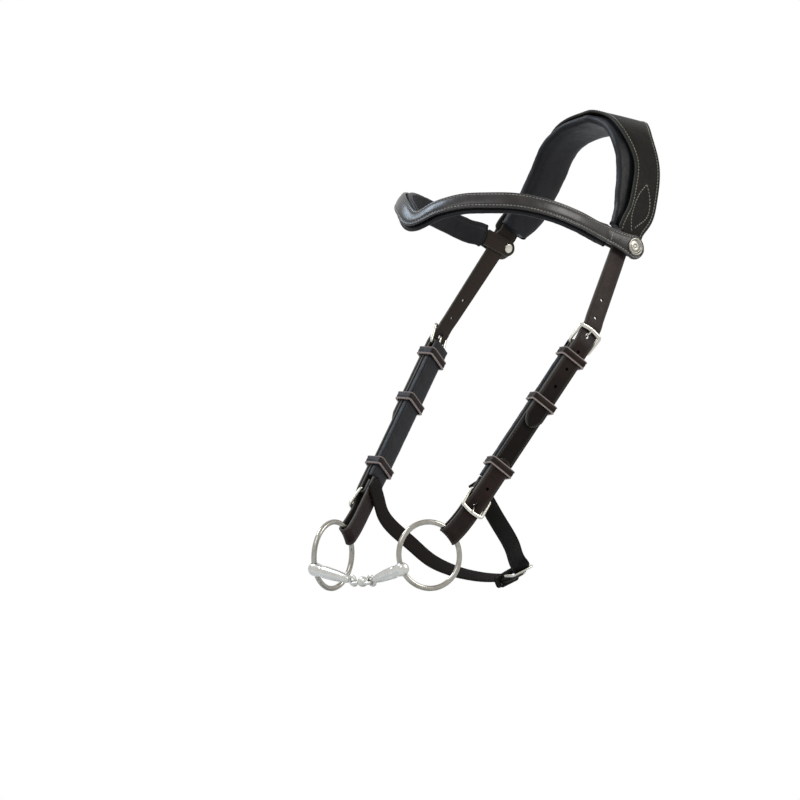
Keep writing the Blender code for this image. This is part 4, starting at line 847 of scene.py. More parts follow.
def cylinder(radius, depth, matrix, stretch=1.0):
    bpy.ops.mesh.primitive_cylinder_add(vertices=28, radius=radius, depth=depth)
    return placed(matrix, stretch)


def torus(major, minor, matrix, around, sides):
    bpy.ops.mesh.primitive_torus_add(
        major_radius=major, minor_radius=minor, major_segments=around, minor_segments=sides
    )
    return placed(matrix)


def stitches(name, lines, material, seed=0.0):
    """Sewn lines: each line is a list of (point, outward direction), and each stitch dips at its ends."""
    points, faces = [], []
    for number, line in enumerate(lines):
        lengths = distances([point for point, out in line])
        count = max(1, round(lengths[-1] / STITCH_PITCH))
        pitch = lengths[-1] / count
        size = STITCH_LENGTH / STITCH_PITCH * pitch / 2

        def spot(distance):
            place, t = spot_on(lengths, distance)
            (point, out), (next_point, next_out) = line[place:place + 2]
            return point.lerp(next_point, t), out.lerp(next_out, t).normalized()

        for i in range(count):
            turn = 0.10 * math.sin(12.9 * i + 7.1 * number + seed)
            faces += shell(len(STITCH_SHARES), STITCH_SIDES, start=len(points))
            for share in STITCH_SHARES:
                at = (i + 0.5) * pitch + share * size
                centre, out = spot(at)
                along = (spot(at + pitch * 0.1)[0] - centre).normalized()
                across = out.cross(along).normalized()
                centre = centre + across * turn * size * share - out * STITCH_RADIUS * 0.9 * share * share
                radius = STITCH_RADIUS * math.sqrt(max(0.05, 1.0 - abs(share) ** 3))
                points += ring_points(centre, across, out, radius, radius, STITCH_SIDES)
    made = mesh_object(name, points, faces, "bridle", material, STITCH_SMOOTH_ANGLE)


def line_on(rows, place, height):
    """A line on swept rows; place(half) is its distance from the middle, height above the middle surface."""
    return [(c + half.normalized() * place(half.length) + out * height, out) for c, half, out in rows]


def turned(name, profile, matrix, body, material, segments=64, smooth_angle=TURNED_SMOOTH_ANGLE):
    """A turned piece from (radius, height) points."""
    points, faces, rings = [], [], []
    angles = [2 * math.pi * i / segments for i in range(segments)]
    for radius, height in profile:
        first = len(points)
        if radius < 1e-7:
            points.append(matrix @ Vector((0.0, 0.0, height)))
        else:
            points += [matrix @ Vector((radius * math.cos(a), radius * math.sin(a), height)) for a in angles]
        rings.append(range(first, len(points)))
    for low, high in zip(rings, rings[1:]):
        for i in range(segments):
            j = (i + 1) % segments
            ring = [low[i % len(low)], low[j % len(low)], high[j % len(high)], high[i % len(high)]]
            faces.append(tuple(dict.fromkeys(ring)))
    return mesh_object(name, points, faces, body, material, smooth_angle)


def smoothed(points, pieces=8):
    """A curve through plane points."""
    made = []
    for i in range(len(points) - 1):
        before = Vector(points[max(i - 1, 0)])
        a, b = Vector(points[i]), Vector(points[i + 1])
        after = Vector(points[min(i + 2, len(points) - 1)])
        for j in range(pieces):
            t = j / pieces
            made.append(tuple(0.5 * (
                2 * a + (b - before) * t + (2 * before - 5 * a + 4 * b - after) * t * t
                + (3 * a - before - 3 * b + after) * t**3
            )))
    made.append(points[-1])
    return made


def eased_profile(profile, pieces):
    """A turned profile rounded through its points."""
    return [(max(radius, 0.0), height) for radius, height in smoothed(profile, pieces)]


def filleted(profile, radius, pieces=3):
    """A turned profile whose corners are rounded over by up to this radius."""
    made = [profile[0]]
    for i in range(1, len(profile) - 1):
        a, b, c = (Vector(profile[k]) for k in (i - 1, i, i + 1))
        reach = min(radius, (a - b).length * 0.45, (c - b).length * 0.45)
        start = b + (a - b).normalized() * reach
        end = b + (c - b).normalized() * reach
        for j in range(pieces + 1):
            t = j / pieces
            made.append(tuple(start * (1 - t) ** 2 + b * 2 * t * (1 - t) + end * t * t))
    made.append(profile[-1])
    return made


def tube(name, path, sizes, body, across, closed=False, sides=20):
    """A wire through points; sizes gives each point's half width and half height."""
    points = []
    before = path[-1:] if closed else path[:1]
    after = path[:1] if closed else path[-1:]
    for point, low, high, size in zip(path, before + path[:-1], path[1:] + after, sizes):
        along = (high - low).normalized()
        side = (across - across.dot(along) * along).normalized()
        points += ring_points(point, side, along.cross(side), *size, sides)
    faces = shell(len(path), sides, closed)
    return mesh_object(name, points, faces, body, BUCKLE_STEEL, WIRE_SMOOTH_ANGLE)


# Levels through the cheekpiece, outward from the buckle bar's centre
BAR_RADIUS = BUCKLE_WIRE / 2
FOLD_RADIUS = BAR_RADIUS + BAR_PLAY + STRAP_THICK / 2
TONGUE_EYE_RADIUS = BAR_RADIUS + BAR_PLAY + TONGUE_EYE_THICK
STRAP_LEVEL = FOLD_RADIUS
BILLET_LEVEL = STRAP_LEVEL + STRAP_THICK + GAP
INNER_LEG_LEVEL = -FOLD_RADIUS - STRAP_THICK - GAP
LINING_BACK = INNER_LEG_LEVEL - STRAP_THICK / 2
NOSE_BILLET_LEVEL = BILLET_LEVEL - BUCKLE_TILT_DROP
NOSE_LEVEL = NOSE_BILLET_LEVEL + STRAP_THICK / 2 + GAP + BAR_RADIUS
HOLE_LEVEL = BILLET_LEVEL - BUCKLE_TILT_DROP * TONGUE_HOLE_SHARE
HOLE_AT = Vector((HOLE_LEVEL, 0.0, BUCKLE_LENGTH * TONGUE_HOLE_SHARE))
X_AXIS_TURN = Matrix.Rotation(math.radians(90.0), 4, "Y")
CROWN_LEVEL = (STRAP_THICK + GAP) / 2
CROSS_BILLET_LEVEL = -(CROWN_THICK + GAP) / 2
STACK_HALF = (STRAP_THICK + CROWN_THICK + GAP) / 2
FLAP_LEVEL = STACK_HALF + GAP + BAND_THICK / 2
TAB_LEVEL = -STACK_HALF - GAP - TAB_THICK / 2
CROSS_SEAM = STRAP_WIDTH / 2 + CROSS_SEAM_CLEARANCE
RING_FOLD_RADIUS = RING_WIRE / 2 + RING_PLAY + STRAP_THICK / 2
RING_LEVEL = (INNER_LEG_LEVEL + NOSE_BILLET_LEVEL) / 2
SIDES = (("left", 1), ("right", -1))


def cheek_frame(side):
    """The placement of a cheekpiece, with its origin at the lower buckle bar."""
    top = Vector((CHEEK_TOP_HALF_SPAN, -CHEEK_TOP_FORWARD, -CHEEK_TOP_DROP))
    down = Vector(CHEEK_DOWN_DIRECTION).normalized()
    out = Vector((math.cos(CHEEK_TOE_IN), -math.sin(CHEEK_TOE_IN), 0.0))
    low = top + down * CHEEK_LENGTH
    return frame_of(mirrored(low, side), mirrored(out, side), mirrored(-down, side))


def crossing_frame(side):
    origin = Vector((CROSSING_HALF_SPAN, -CROSSING_FORWARD, -CROSSING_DROP))
    down = Vector(CROSSING_DOWN_DIRECTION)
    return frame_of(mirrored(origin, side), mirrored(CROSSING_OUT_DIRECTION, side), mirrored(-down, side))


def band_frame(side):
    """The crossing turned to lie along the browband."""
    return crossing_frame(side) @ Matrix.Rotation(BAND_TILT * side, 4, "X")


def snap_place(side, level):
    """The axis of the press stud, at a level of the crossing."""
    return band_frame(side) @ Matrix.Translation((level, SNAP_BACK * side, 0.0)) @ X_AXIS_TURN


@cache
def crown_route(side):
    """The middle surface of the crown piece from its top down to past the crossing."""
    top = CROWN_LINING_THICK + SOFT_GAP + CROWN_THICK / 2
    height = top + CROSSING_DROP
    controls = []
    for across, forward, down, out, wide in CROWN_ROUTE_SHARES:
        point = Vector((across * CROSSING_HALF_SPAN, -forward * CROSSING_FORWARD, top - down * height))
        controls.append((mirrored(point, side), mirrored(out, side), wide * CROWN_WIDTH))
    cross = crossing_frame(side)
    out = cross.col[0].to_3d()
    half_band = BAND_WIDTH / 2
    back = CROWN_LOW_SET_BACK * side
    for set_back, up, wide in (
        (back, CROSS_FLAT_ABOVE, CROWN_LOW_WIDTH),
        (back, CROSS_FLAT_ABOVE - CROSS_FLAT_RUN, CROWN_LOW_WIDTH),
        (back * 2 / 3, half_band, (CROWN_LOW_WIDTH * 2 + STRAP_WIDTH) / 3),
        (0.0, SNAP_SOCKET_RADIUS + GAP * 2, STRAP_WIDTH),
        (0.0, -half_band, STRAP_WIDTH),
    ):
        controls.append((cross @ Vector((CROWN_LEVEL, set_back, up)), out, wide))
    return Route(controls, start=(side, 0.0, 0.0), fan=CROWN_FAN, fan_end=CROWN_FAN_END)


def crown_marks(route):
    """Distances of the billet's top, the lining's end, the crossing's middle and the crown's end."""
    middle = route.controls[len(CROWN_ROUTE_SHARES)] + CROSS_FLAT_ABOVE
    return middle - BILLET_SEAM_LENGTH, middle - CROWN_LINING_END, middle, middle + CROWN_END_UNDER_BAND


def both_sides(left, right):
    """One row list from the right end over the middle to the left end."""
    return [(c, -half, out) for c, half, out in right[:0:-1]] + left


def notch(side):
    return cylinder(SNAP_SOCKET_RADIUS + NOTCH_PLAY, STACK_HALF * 2 + CUT_OVERRUN, snap_place(side, 0.0))


def padded_ends(rows, pieces=5):
    """Rows whose two ends round over like a pad's."""

    def capped(rows):
        centre, half, out = rows[-1]
        along = (centre - rows[-2][0]).normalized()
        made = []
        for i in range(1, pieces + 1):
            angle = math.pi / 2 * i / pieces * 0.97
            past = PAD_END_DEPTH * (math.sin(angle) - 1)
            made.append((centre + along * past, half * (0.70 + 0.30 * math.cos(angle)), out))
        return rows[:-1] + made

    return capped(capped(rows)[::-1])[::-1]


def padding(name, node_name, rows, section, pucker, swells=None):
    """A padded lining in the place of its solid."""
    made = sweep(name, rows, section, "bridle", SOFT_LINING, swells=swells)
    puckered(made, *pucker)
    dressed(made, node_name)


def headpiece():
    """The crown piece with its seams, and the padded lining under it."""
    halves, pads, leaves = [], [], []
    for side in (1, -1):
        route = crown_route(side)
        seam_top, lining_end, middle, end = crown_marks(route)
        halves.append(route.rows(0.0, end))
        roll = smoothed(list(zip(route.controls, ROLL_SHARES)))
        roll_lengths = [distance for distance, share in roll]

        def taper(distance):
            low, t = spot_on(roll_lengths, distance)
            return CROWN_LINING_ROLL * (roll[low][1] + (roll[low + 1][1] - roll[low][1]) * min(t, 1.0))

        def lift(distance):
            share = clamped((distance - seam_top + LINING_DROP_LENGTH) / LINING_DROP_LENGTH)
            drop = (STRAP_THICK + GAP + SOFT_GAP) * eased(share)
            return -(CROWN_THICK + CROWN_LINING_THICK) / 2 - SOFT_GAP - drop

        pads.append(route.rows(
            0.0, lining_end, lift=lift,
            shift=lambda d: -taper(d) / 2 * side, width=lambda d: route.at(d)[4] + taper(d)
        ))
        for leg in LEAF_SHARES:
            leaf = []
            for down, across in smoothed(leg):
                point, along, crossing, out, wide = route.at(seam_top + down * BILLET_SEAM_LENGTH)
                height = CROWN_THICK / 2 + CROWN_SWELL * (1 - across**2) + STITCH_HEIGHT
                leaf.append((point + crossing * side * across * wide / 2 + out * height, out))
            leaves.append(leaf)
    rows = both_sides(*halves)
    section = strap_section(CROWN_THICK, CROWN_CREASE, CROWN_SWELL)
    top = sweep("crown_leather", closed_end(rows), section, "bridle", HEAD_LEATHER)
    cut(top, [notch(1), notch(-1)])
    dressed(top, "headpiece_top")
    length = distances([row[0] for row in rows])[-1]
    keep = round((BAND_WIDTH / 2 + CROWN_END_UNDER_BAND) / length * len(rows))
    lines = [
        line_on(rows[keep:-keep], lambda half: sign * (half - CROWN_CREASE), CROWN_THICK / 2 + STITCH_HEIGHT)
        for sign in (1, -1)
    ]
    stitches("crown_stitching", lines + leaves, THREAD)
    section = pad_section(CROWN_LINING_THICK, 2.9, (-0.70,))
    rows = padded_ends(both_sides(*pads))
    padding("crown_padding", "headpiece_lining", rows, section, PAD_PUCKER)


def billet_route(side):
    """A billet from the crossing down to its tip."""
    cross = crossing_frame(side)
    cheek = cheek_frame(side)
    cross_out = cross.col[0].to_3d()
    out = cheek.col[0].to_3d()
    bar = Vector((0.0, 0.0, CHEEK_LENGTH))
    flat = [cross @ Vector((CROSS_BILLET_LEVEL, 0.0, up)) for up in (0.0, -BAND_WIDTH / 2)]
    controls = [(point, cross_out, STRAP_WIDTH) for point in flat]
    nose = cheek @ (bar + Vector((NOSE_BILLET_LEVEL, 0.0, BUCKLE_LENGTH + BUCKLE_WIRE)))
    bend = BILLET_BEND_LENGTH / (nose - flat[1]).length
    for share in (bend, 1 - bend):
        controls.append((flat[1].lerp(nose, share), cross_out.lerp(out, share), STRAP_WIDTH))
    for level, up in (
        (NOSE_BILLET_LEVEL, BUCKLE_LENGTH + BUCKLE_WIRE),
        (NOSE_BILLET_LEVEL, BUCKLE_LENGTH),
        (HOLE_AT.x, HOLE_AT.z),
        (BILLET_LEVEL, BUCKLE_WIRE),
        (BILLET_LEVEL, -BUCKLE_WIRE),
        (BILLET_LEVEL, -BILLET_LENGTH_BELOW_BAR),
    ):
        controls.append((cheek @ (bar + Vector((level, 0.0, up))), out, STRAP_WIDTH))
    return Route(controls)


def pointed(length, width):
    """A strap's width near its pointed end, as a function of distance."""

    def wide(distance):
        share = min(max(length - distance, 0.0) / BILLET_TIP_LENGTH, 1.0)
        return width * (TIP_NARROW_SHARE + (1 - TIP_NARROW_SHARE) * math.sqrt(share))

    return wide


def punched(route, hole_at, before, after, pitch, to_bar):
    """Tools for a row of holes; the used one is worn long towards the buckle bar."""
    used = route.nearest(hole_at)
    tools = []
    for i in range(-before, after + 1):
        set_back = USED_HOLE_SET_BACK * to_bar if i == 0 else 0.0
        point, along, across, out, width = route.at(used + i * pitch + set_back)
        matrix = Matrix.Translation(point) @ axes(along, along.cross(out) * -1, out)
        radius, stretch = (HOLE_RADIUS, USED_HOLE_STRETCH_SHARE) if i == 0 else (SPARE_HOLE_RADIUS, 1.0)
        tools.append(cylinder(radius, STRAP_THICK * 2, matrix, stretch))
    return tools


def billet(label, side):
    """The punched strap from under the crown piece down through the upper buckle."""
    crown = crown_route(side)
    seam_top, lining_end, middle, end = crown_marks(crown)
    drop = -(CROWN_THICK + STRAP_THICK) / 2 - GAP
    route = billet_route(side)
    tip = route.length - BILLET_TIP_LENGTH
    wide = pointed(route.length, STRAP_WIDTH)
    rows = crown.rows(seam_top, middle - STEP, lift=drop, width=lambda d: STRAP_WIDTH)
    rows += route.rows(0.0, tip, width=wide)
    rows += route.rows(tip, route.length, width=wide, step=TIP_STEP)[1:]
    obj = strap(f"{label}_billet_leather", rows, STRAP_LEATHER)
    hole_at = cheek_frame(side) @ (HOLE_AT + Vector((0.0, 0.0, CHEEK_LENGTH)))
    tools = punched(route, hole_at, BILLET_UPPER_HOLE_COUNT, BILLET_LOWER_HOLE_COUNT, HOLE_PITCH, 1)
    cut(obj, tools + [notch(side)])
    dressed(obj, f"{label}_billet")


def band_route(side):
    """The browband from its front centre to the press stud."""
    cross = band_frame(side)
    controls = []
    for across, reach, rise, direction in BAND_ROUTE_SHARES:
        direction = Vector(direction).normalized()
        point = Vector((
            across * CROSSING_HALF_SPAN,
            -CROSSING_FORWARD - reach * BAND_REACH,
            -CROSSING_DROP + rise * BAND_RISE,
        ))
        point = mirrored(point + direction * FLAP_LEVEL, side)
        controls.append((point, mirrored(direction, side), BAND_WIDTH))
    for back in (-CROSS_SEAM - CROSS_FLAT_RUN, -CROSS_SEAM, SNAP_BACK):
        point = cross @ Vector((FLAP_LEVEL, back * side, 0.0))
        controls.append((point, cross.col[0].to_3d(), BAND_WIDTH))
    return Route(controls, start=(float(side), 0.0, 0.0), end=tuple(cross.col[1].to_3d() * side))


def round_end(centre, back, across, radius, out, pieces):
    """Rows for a round end, from its widest row to just short of its tip."""
    angles = [ROUND_END_TURN * i / pieces for i in range(pieces + 1)]
    return [(centre + back * radius * math.sin(a), across * radius * math.cos(a), out) for a in angles]


def browband():
    """The band with a round flap at each end, its seams and the roll behind it."""
    halves, pads, seams, tools = [], [], [], []
    height = BAND_THICK / 2 + STITCH_HEIGHT
    pad_level = -(BAND_THICK + BAND_PAD_THICK) / 2 - SOFT_GAP
    for side in (1, -1):
        route = band_route(side)
        seam_at, snap_at = route.controls[-2:]
        cross = band_frame(side)
        across_band = route.at(snap_at)[2]
        out = cross.col[0].to_3d()
        back = cross.col[1].to_3d() * side
        centre = cross @ Vector((FLAP_LEVEL, SNAP_BACK * side, 0.0))
        rows = route.rows(0.0, seam_at)
        for share in FLAP_WIDEN_SHARES:
            half = BAND_WIDTH / 2 + (FLAP_END_RADIUS - BAND_WIDTH / 2) * share**2
            rows.append((route.at(seam_at + (snap_at - seam_at) * share)[0], across_band * half, out))
        halves.append(rows + round_end(centre, back, across_band, FLAP_END_RADIUS, out, 20))
        upper = line_on(rows, lambda half: half - BAND_CREASE, height)
        lower = line_on(rows, lambda half: BAND_CREASE - half, height)
        edge = FLAP_END_RADIUS - BAND_CREASE
        turn = [
            (centre + (across_band * math.cos(a) + back * math.sin(a)) * edge + out * height, out)
            for a in (math.pi * i / 24 for i in range(25))
        ]
        seams.append(upper + turn + lower[::-1])
        point, along, across, flat_out, width = route.at(seam_at)
        across = across * (BAND_WIDTH / 2 - BAND_CREASE - CREASE_WIDTH)
        cross_seam = []
        for i in range(-8, 9):
            share = i / 8 * 0.88
            raised = height + swollen(share, BAND_SWELL, BAND_RAISED)
            cross_seam.append((point + across * share + flat_out * raised, flat_out))
        seams.append(cross_seam)
        wide = BAND_WIDTH + 2 * BAND_PAD_OVERHANG
        pads.append(route.rows(0.0, seam_at - SOFT_GAP, lift=pad_level, width=lambda d: wide))
        post = snap_place(side, FLAP_LEVEL)
        tools.append(cylinder(SNAP_POST_RADIUS + GAP, BAND_THICK + CUT_OVERRUN, post))
    section = strap_section(BAND_THICK, BAND_CREASE, BAND_SWELL, BAND_RAISED)
    face = sweep("browband_leather", both_sides(*halves), section, "bridle", BAND_LEATHER)
    cut(face, tools)
    dressed(face, "browband_face")
    stitches("browband_stitching", seams, BAND_THREAD, seed=2.0)
    section = pad_section(BAND_PAD_THICK, 2.5, (-0.66, 0.66), THIN_GROOVE_DEPTH)
    rows = padded_ends(both_sides(*pads))
    padding("browband_roll", "browband_padding", rows, section, THIN_PUCKER)


def tab(label, side):
    """The inner tab, flat behind the headpiece strap, with the press stud at its end."""
    hinge = band_frame(side) @ Matrix.Translation((TAB_LEVEL, -CROSS_SEAM * side, 0.0))
    reach = SNAP_BACK + CROSS_SEAM
    radius = TAB_WIDTH / 2
    body = f"{label}_tab"
    out = aimed(hinge, 1.0, 0.0, 0.0)
    up = aimed(hinge, 0.0, 0.0, 1.0)
    count = round(reach / STEP)
    ways = [reach * i / count * side for i in range(count + 1)]
    rows = [(hinge @ Vector((0.0, way, 0.0)), up * radius, out) for way in ways]
    rows += round_end(rows[-1][0], aimed(hinge, 0.0, side, 0.0), up, radius, out, 18)[1:]
    obj = sweep(f"{label}_tab_leather", rows, strap_section(TAB_THICK), body, STRAP_LEATHER)
    hole = hinge @ Matrix.Translation((0.0, reach * side, 0.0)) @ X_AXIS_TURN
    cut(obj, [cylinder(SNAP_POST_RADIUS + GAP, TAB_THICK + CUT_OVERRUN, hole)])
    dressed(obj, f"{label}_browband_tab")

    flange_low = TAB_THICK / 2 + GAP
    flange_high = flange_low + SNAP_BACK_HEIGHT
    back_low = -TAB_THICK / 2 - GAP - SNAP_BACK_HEIGHT
    head_top = FLAP_LEVEL - BAND_THICK / 2 - GAP - TAB_LEVEL - SNAP_BACK_HEIGHT - SNAP_PLAY
    head_low = head_top - SNAP_HEAD_RADIUS * 0.8
    neck = SNAP_HEAD_RADIUS * 0.75
    profile = (
        (0.0, head_top),
        (SNAP_HEAD_RADIUS * 0.7, head_top),
        (SNAP_HEAD_RADIUS, (head_top * 2 + head_low) / 3),
        (neck, head_low),
        (neck, flange_high),
        (SNAP_SOCKET_RADIUS * 0.85, flange_high),
        (SNAP_SOCKET_RADIUS * 0.85, flange_low),
        (SNAP_POST_RADIUS, flange_low),
        (SNAP_POST_RADIUS, back_low + SNAP_BACK_HEIGHT),
        (SNAP_BACK_RADIUS, back_low + SNAP_BACK_HEIGHT),
        (SNAP_BACK_RADIUS * 0.92, back_low + SNAP_BACK_HEIGHT * 0.3),
        (SNAP_BACK_RADIUS * 0.7, back_low),
        (0.0, back_low),
    )
    stud = turned(f"{label}_stud_steel", filleted(profile, STUD_FILLET), hole, body, BUCKLE_STEEL)
    dressed(stud, f"{label}_snap_stud")


def snap_outer(label, side):
    """The round cap outside the browband and the spring socket behind it."""
    centre = snap_place(side, FLAP_LEVEL)
    low = BAND_THICK / 2 + GAP
    socket_face = -low
    profile = eased_profile([(CAP_RADIUS * r, low + CAP_HEIGHT * h) for r, h in CAP_SHARES], 4)
    profile += [(SNAP_POST_RADIUS, low), (SNAP_POST_RADIUS, socket_face + GAP), (0.0, socket_face + GAP)]
    cap = turned(f"{label}_concho_steel", profile, centre, "bridle", CONCHO_STEEL, segments=72)
    dressed(cap, f"{label}_concho")
    base = socket_face - SNAP_BACK_HEIGHT
    bottom = socket_face - SNAP_SOCKET_HEIGHT
    cavity = SNAP_HEAD_RADIUS + SNAP_PLAY
    profile = (
        (0.0, socket_face),
        (SNAP_SOCKET_RADIUS * 0.9, socket_face),
        (SNAP_SOCKET_RADIUS, socket_face - SNAP_BACK_HEIGHT * 0.4),
        (SNAP_SOCKET_RADIUS, bottom + SNAP_BACK_HEIGHT * 0.3),
        (SNAP_SOCKET_RADIUS * 0.9, bottom),
        (cavity, bottom),
        (cavity, base),
        (0.0, base),
    )
    profile = filleted(profile, SOCKET_FILLET)
    socket = turned(f"{label}_socket_steel", profile, centre, "bridle", BUCKLE_STEEL)
    dressed(socket, f"{label}_snap_socket")


def arc_points(centre, radius, start, end, pieces):
    angles = [start + (end - start) * i / pieces for i in range(pieces + 1)]
    return [(centre[0] + radius * math.cos(a), centre[1] + radius * math.sin(a)) for a in angles]


def slot_tool(place, bar_at, turn):
    """The slot in a folded strap end in which the buckle's tongue turns."""
    low = TONGUE_EYE_RADIUS + 2 * GAP
    high = FOLD_RADIUS + STRAP_THICK
    bpy.ops.mesh.primitive_cube_add(size=1)
    made = placed(place @ Matrix.Translation((0.0, 0.0, bar_at + (high - low) / 2 * turn)))
    made.data.transform(Matrix.Diagonal((FOLD_RADIUS * 4, TONGUE_EYE_WIDTH + 4 * GAP, low + high, 1.0)))
    return made


def cheek_strap(label, side):
    """A cheekpiece's strap, folded round the bar of each of its buckles, and its two seams."""
    place = cheek_frame(side)
    start, stop = BIT_STRAP_SEAM_LENGTH, CHEEK_LENGTH - CHEEK_RETURN_LENGTH
    path = [(-FOLD_RADIUS, stop)]
    path += arc_points((0.0, CHEEK_LENGTH), FOLD_RADIUS, math.pi, 0.0, FOLD_PIECES)
    path += arc_points((0.0, 0.0), FOLD_RADIUS, 0.0, -math.pi, FOLD_PIECES)
    path += [(-FOLD_RADIUS, CHEEK_RETURN_LENGTH)]
    half = aimed(place, 0.0, STRAP_WIDTH / 2, 0.0)
    rows = refined([(place @ Vector((x, 0.0, z)), half) for x, z in path])
    obj = strap(f"{label}_cheek_leather", oriented(rows), STRAP_LEATHER)
    cut(obj, [slot_tool(place, CHEEK_LENGTH, 1), slot_tool(place, 0.0, -1)])
    dressed(obj, f"{label}_cheek_strap")
    height = STRAP_LEVEL + STRAP_THICK / 2 + STITCH_RADIUS * 0.1
    out = aimed(place, 1.0, 0.0, 0.0)
    lines = []
    for across in (STRAP_WIDTH / 2 - STRAP_CREASE, STRAP_CREASE - STRAP_WIDTH / 2):
        ups = [start + (stop - start) * i / 60 for i in range(61)]
        lines.append([(place @ Vector((height, across, up)), out) for up in ups])
    stitches(f"{label}_cheek_stitching", lines, DARK_THREAD, seed=4.0 + side)


def cheek_lining(label, side):
    """The lining behind a cheekpiece, thinner where the strap's end comes back over it."""
    place = cheek_frame(side)
    low = BIT_STRAP_SEAM_LENGTH + GAP * 2
    high = CHEEK_LENGTH + FOLD_RADIUS
    step = CHEEK_LENGTH - CHEEK_RETURN_LENGTH - GAP * 2
    front = STRAP_LEVEL - STRAP_THICK / 2 - GAP
    thin = INNER_LEG_LEVEL + STRAP_THICK / 2
    half = aimed(place, 0.0, CHEEK_LINING_WIDTH / 2, 0.0)
    out = aimed(place, 1.0, 0.0, 0.0)
    rows, swells = [], []
    count = round((high - low) / STEP)
    for i in range(count + 1):
        up = low + (high - low) * i / count
        top = front + (thin - front) * clamped((up - step) / CHEEK_RETURN_LENGTH * 4 + 1)
        end = min(min(up - low, high - up) / CHEEK_PAD_END, 1.0)
        swells.append((top - LINING_BACK) * (0.70 + 0.30 * math.sqrt(end)))
        rows.append((place @ Vector(((top + LINING_BACK) / 2, 0.0, up)), half, out))
    name, section = f"{label}_cheek_padding", pad_section(1.0, 4.0)
    padding(name, f"{label}_cheek_lining", rows, section, THIN_PUCKER, swells)


def keeper(name, place, low, high, half_width, body, material=KEEPER_LEATHER):
    """A leather loop with a raised rim along each edge, pale from burnishing and a painted highlight."""
    room = GAP + KEEPER_THICK / 2
    low, high, wide = low - room, high + room, half_width + room
    r = KEEPER_CORNER
    path = []
    for x, y, start in (
        (high - r, wide - r, 0.0),
        (low + r, wide - r, math.pi / 2),
        (low + r, -wide + r, math.pi),
        (high - r, -wide + r, -math.pi / 2),
    ):
        path += arc_points((x, y), r, start, start + math.pi / 2, 8)
    closed = []
    for a, b in zip(path, path[1:] + path[:1]):
        count = max(1, round(math.dist(a, b) / STEP))
        for j in range(count):
            closed.append((a[0] + (b[0] - a[0]) * j / count, a[1] + (b[1] - a[1]) * j / count))
    half = aimed(place, 0.0, 0.0, KEEPER_HEIGHT / 2)
    rows = []
    for before, (x, y), after in zip(closed[-1:] + closed[:-1], closed, closed[1:] + closed[:1]):
        normal = Vector((after[1] - before[1], before[0] - after[0], 0.0)).normalized()
        rows.append((place @ Vector((x, y, 0.0)), half, aimed(place, *normal)))
    grain = [(-a, h, e, f) for a, h, e, f in KEEPER_SHARES] + [(0.0, 1.0, 0.0, 0.0), *KEEPER_SHARES[::-1]]
    under = [(0.9, -1.0, 0.2, 1.0), (0.0, -1.0, 0.0, 1.0), (-0.9, -1.0, 0.2, 1.0)]
    section = [(a * KEEPER_HEIGHT / 2, h * KEEPER_THICK / 2, e, f) for a, h, e, f in grain + under]
    obj = sweep(f"{name}_leather", rows, lambda half: section, body, material, loop=True)
    dressed(obj, name)


def keepers(label, side):
    """A cheekpiece's two fixed loops and the runner between them."""
    for word, up, body in (
        ("upper_keeper", CHEEK_LENGTH - UPPER_KEEPER_BELOW_BAR, "bridle"),
        ("runner", CHEEK_LENGTH - RUNNER_BELOW_BAR, f"{label}_runner"),
        ("lower_keeper", LOWER_KEEPER_ABOVE_BAR, "bridle"),
    ):
        place = cheek_frame(side) @ Matrix.Translation((0.0, 0.0, up))
        high = BILLET_LEVEL + STRAP_THICK / 2
        keeper(f"{label}_{word}", place, LINING_BACK, high, CHEEK_LINING_WIDTH / 2, body)


def buckle_frame(label, place, strap_width, turn):
    """A buckle's frame, slimmest at the bar; the nose is on the side that turn says."""
    half = strap_width / 2 + BUCKLE_PLAY + BAR_RADIUS
    r = BUCKLE_CORNER
    flat = arc_points((half - r, r), r, -math.pi / 2, 0.0, 8)
    flat += arc_points((half - r, BUCKLE_LENGTH - r), r, 0.0, math.pi / 2, 8)
    first = flat[-1][0]
    for i in range(1, 16):
        t = i / 16
        bow = BUCKLE_NOSE_BOW * math.sin(math.pi * t)
        flat.append((first * (1 - t) + (r - half) * t, BUCKLE_LENGTH + bow))
    flat += arc_points((r - half, BUCKLE_LENGTH - r), r, math.pi / 2, math.pi, 8)
    flat += arc_points((r - half, r), r, math.pi, math.pi * 3 / 2, 8)
    path, sizes = [], []
    for y, z in flat:
        nose = clamped((z - BUCKLE_LENGTH + BUCKLE_WIRE * 1.5) / (BUCKLE_WIRE * 1.5))
        aside = clamped((z - BAR_RADIUS) / BUCKLE_WIRE)
        path.append(place @ Vector((NOSE_LEVEL / BUCKLE_LENGTH * z, y, z * turn)))
        sizes.append((BAR_RADIUS * (1.0 + 0.12 * aside), BAR_RADIUS * (1.0 + 0.26 * aside + 0.36 * nose)))
    normal = place.to_3x3() @ Vector((BUCKLE_LENGTH, 0.0, -NOSE_LEVEL * turn)).normalized()
    name = f"{label}_frame"
    dressed(tube(f"{name}_steel", path, sizes, "bridle", normal, closed=True), name)


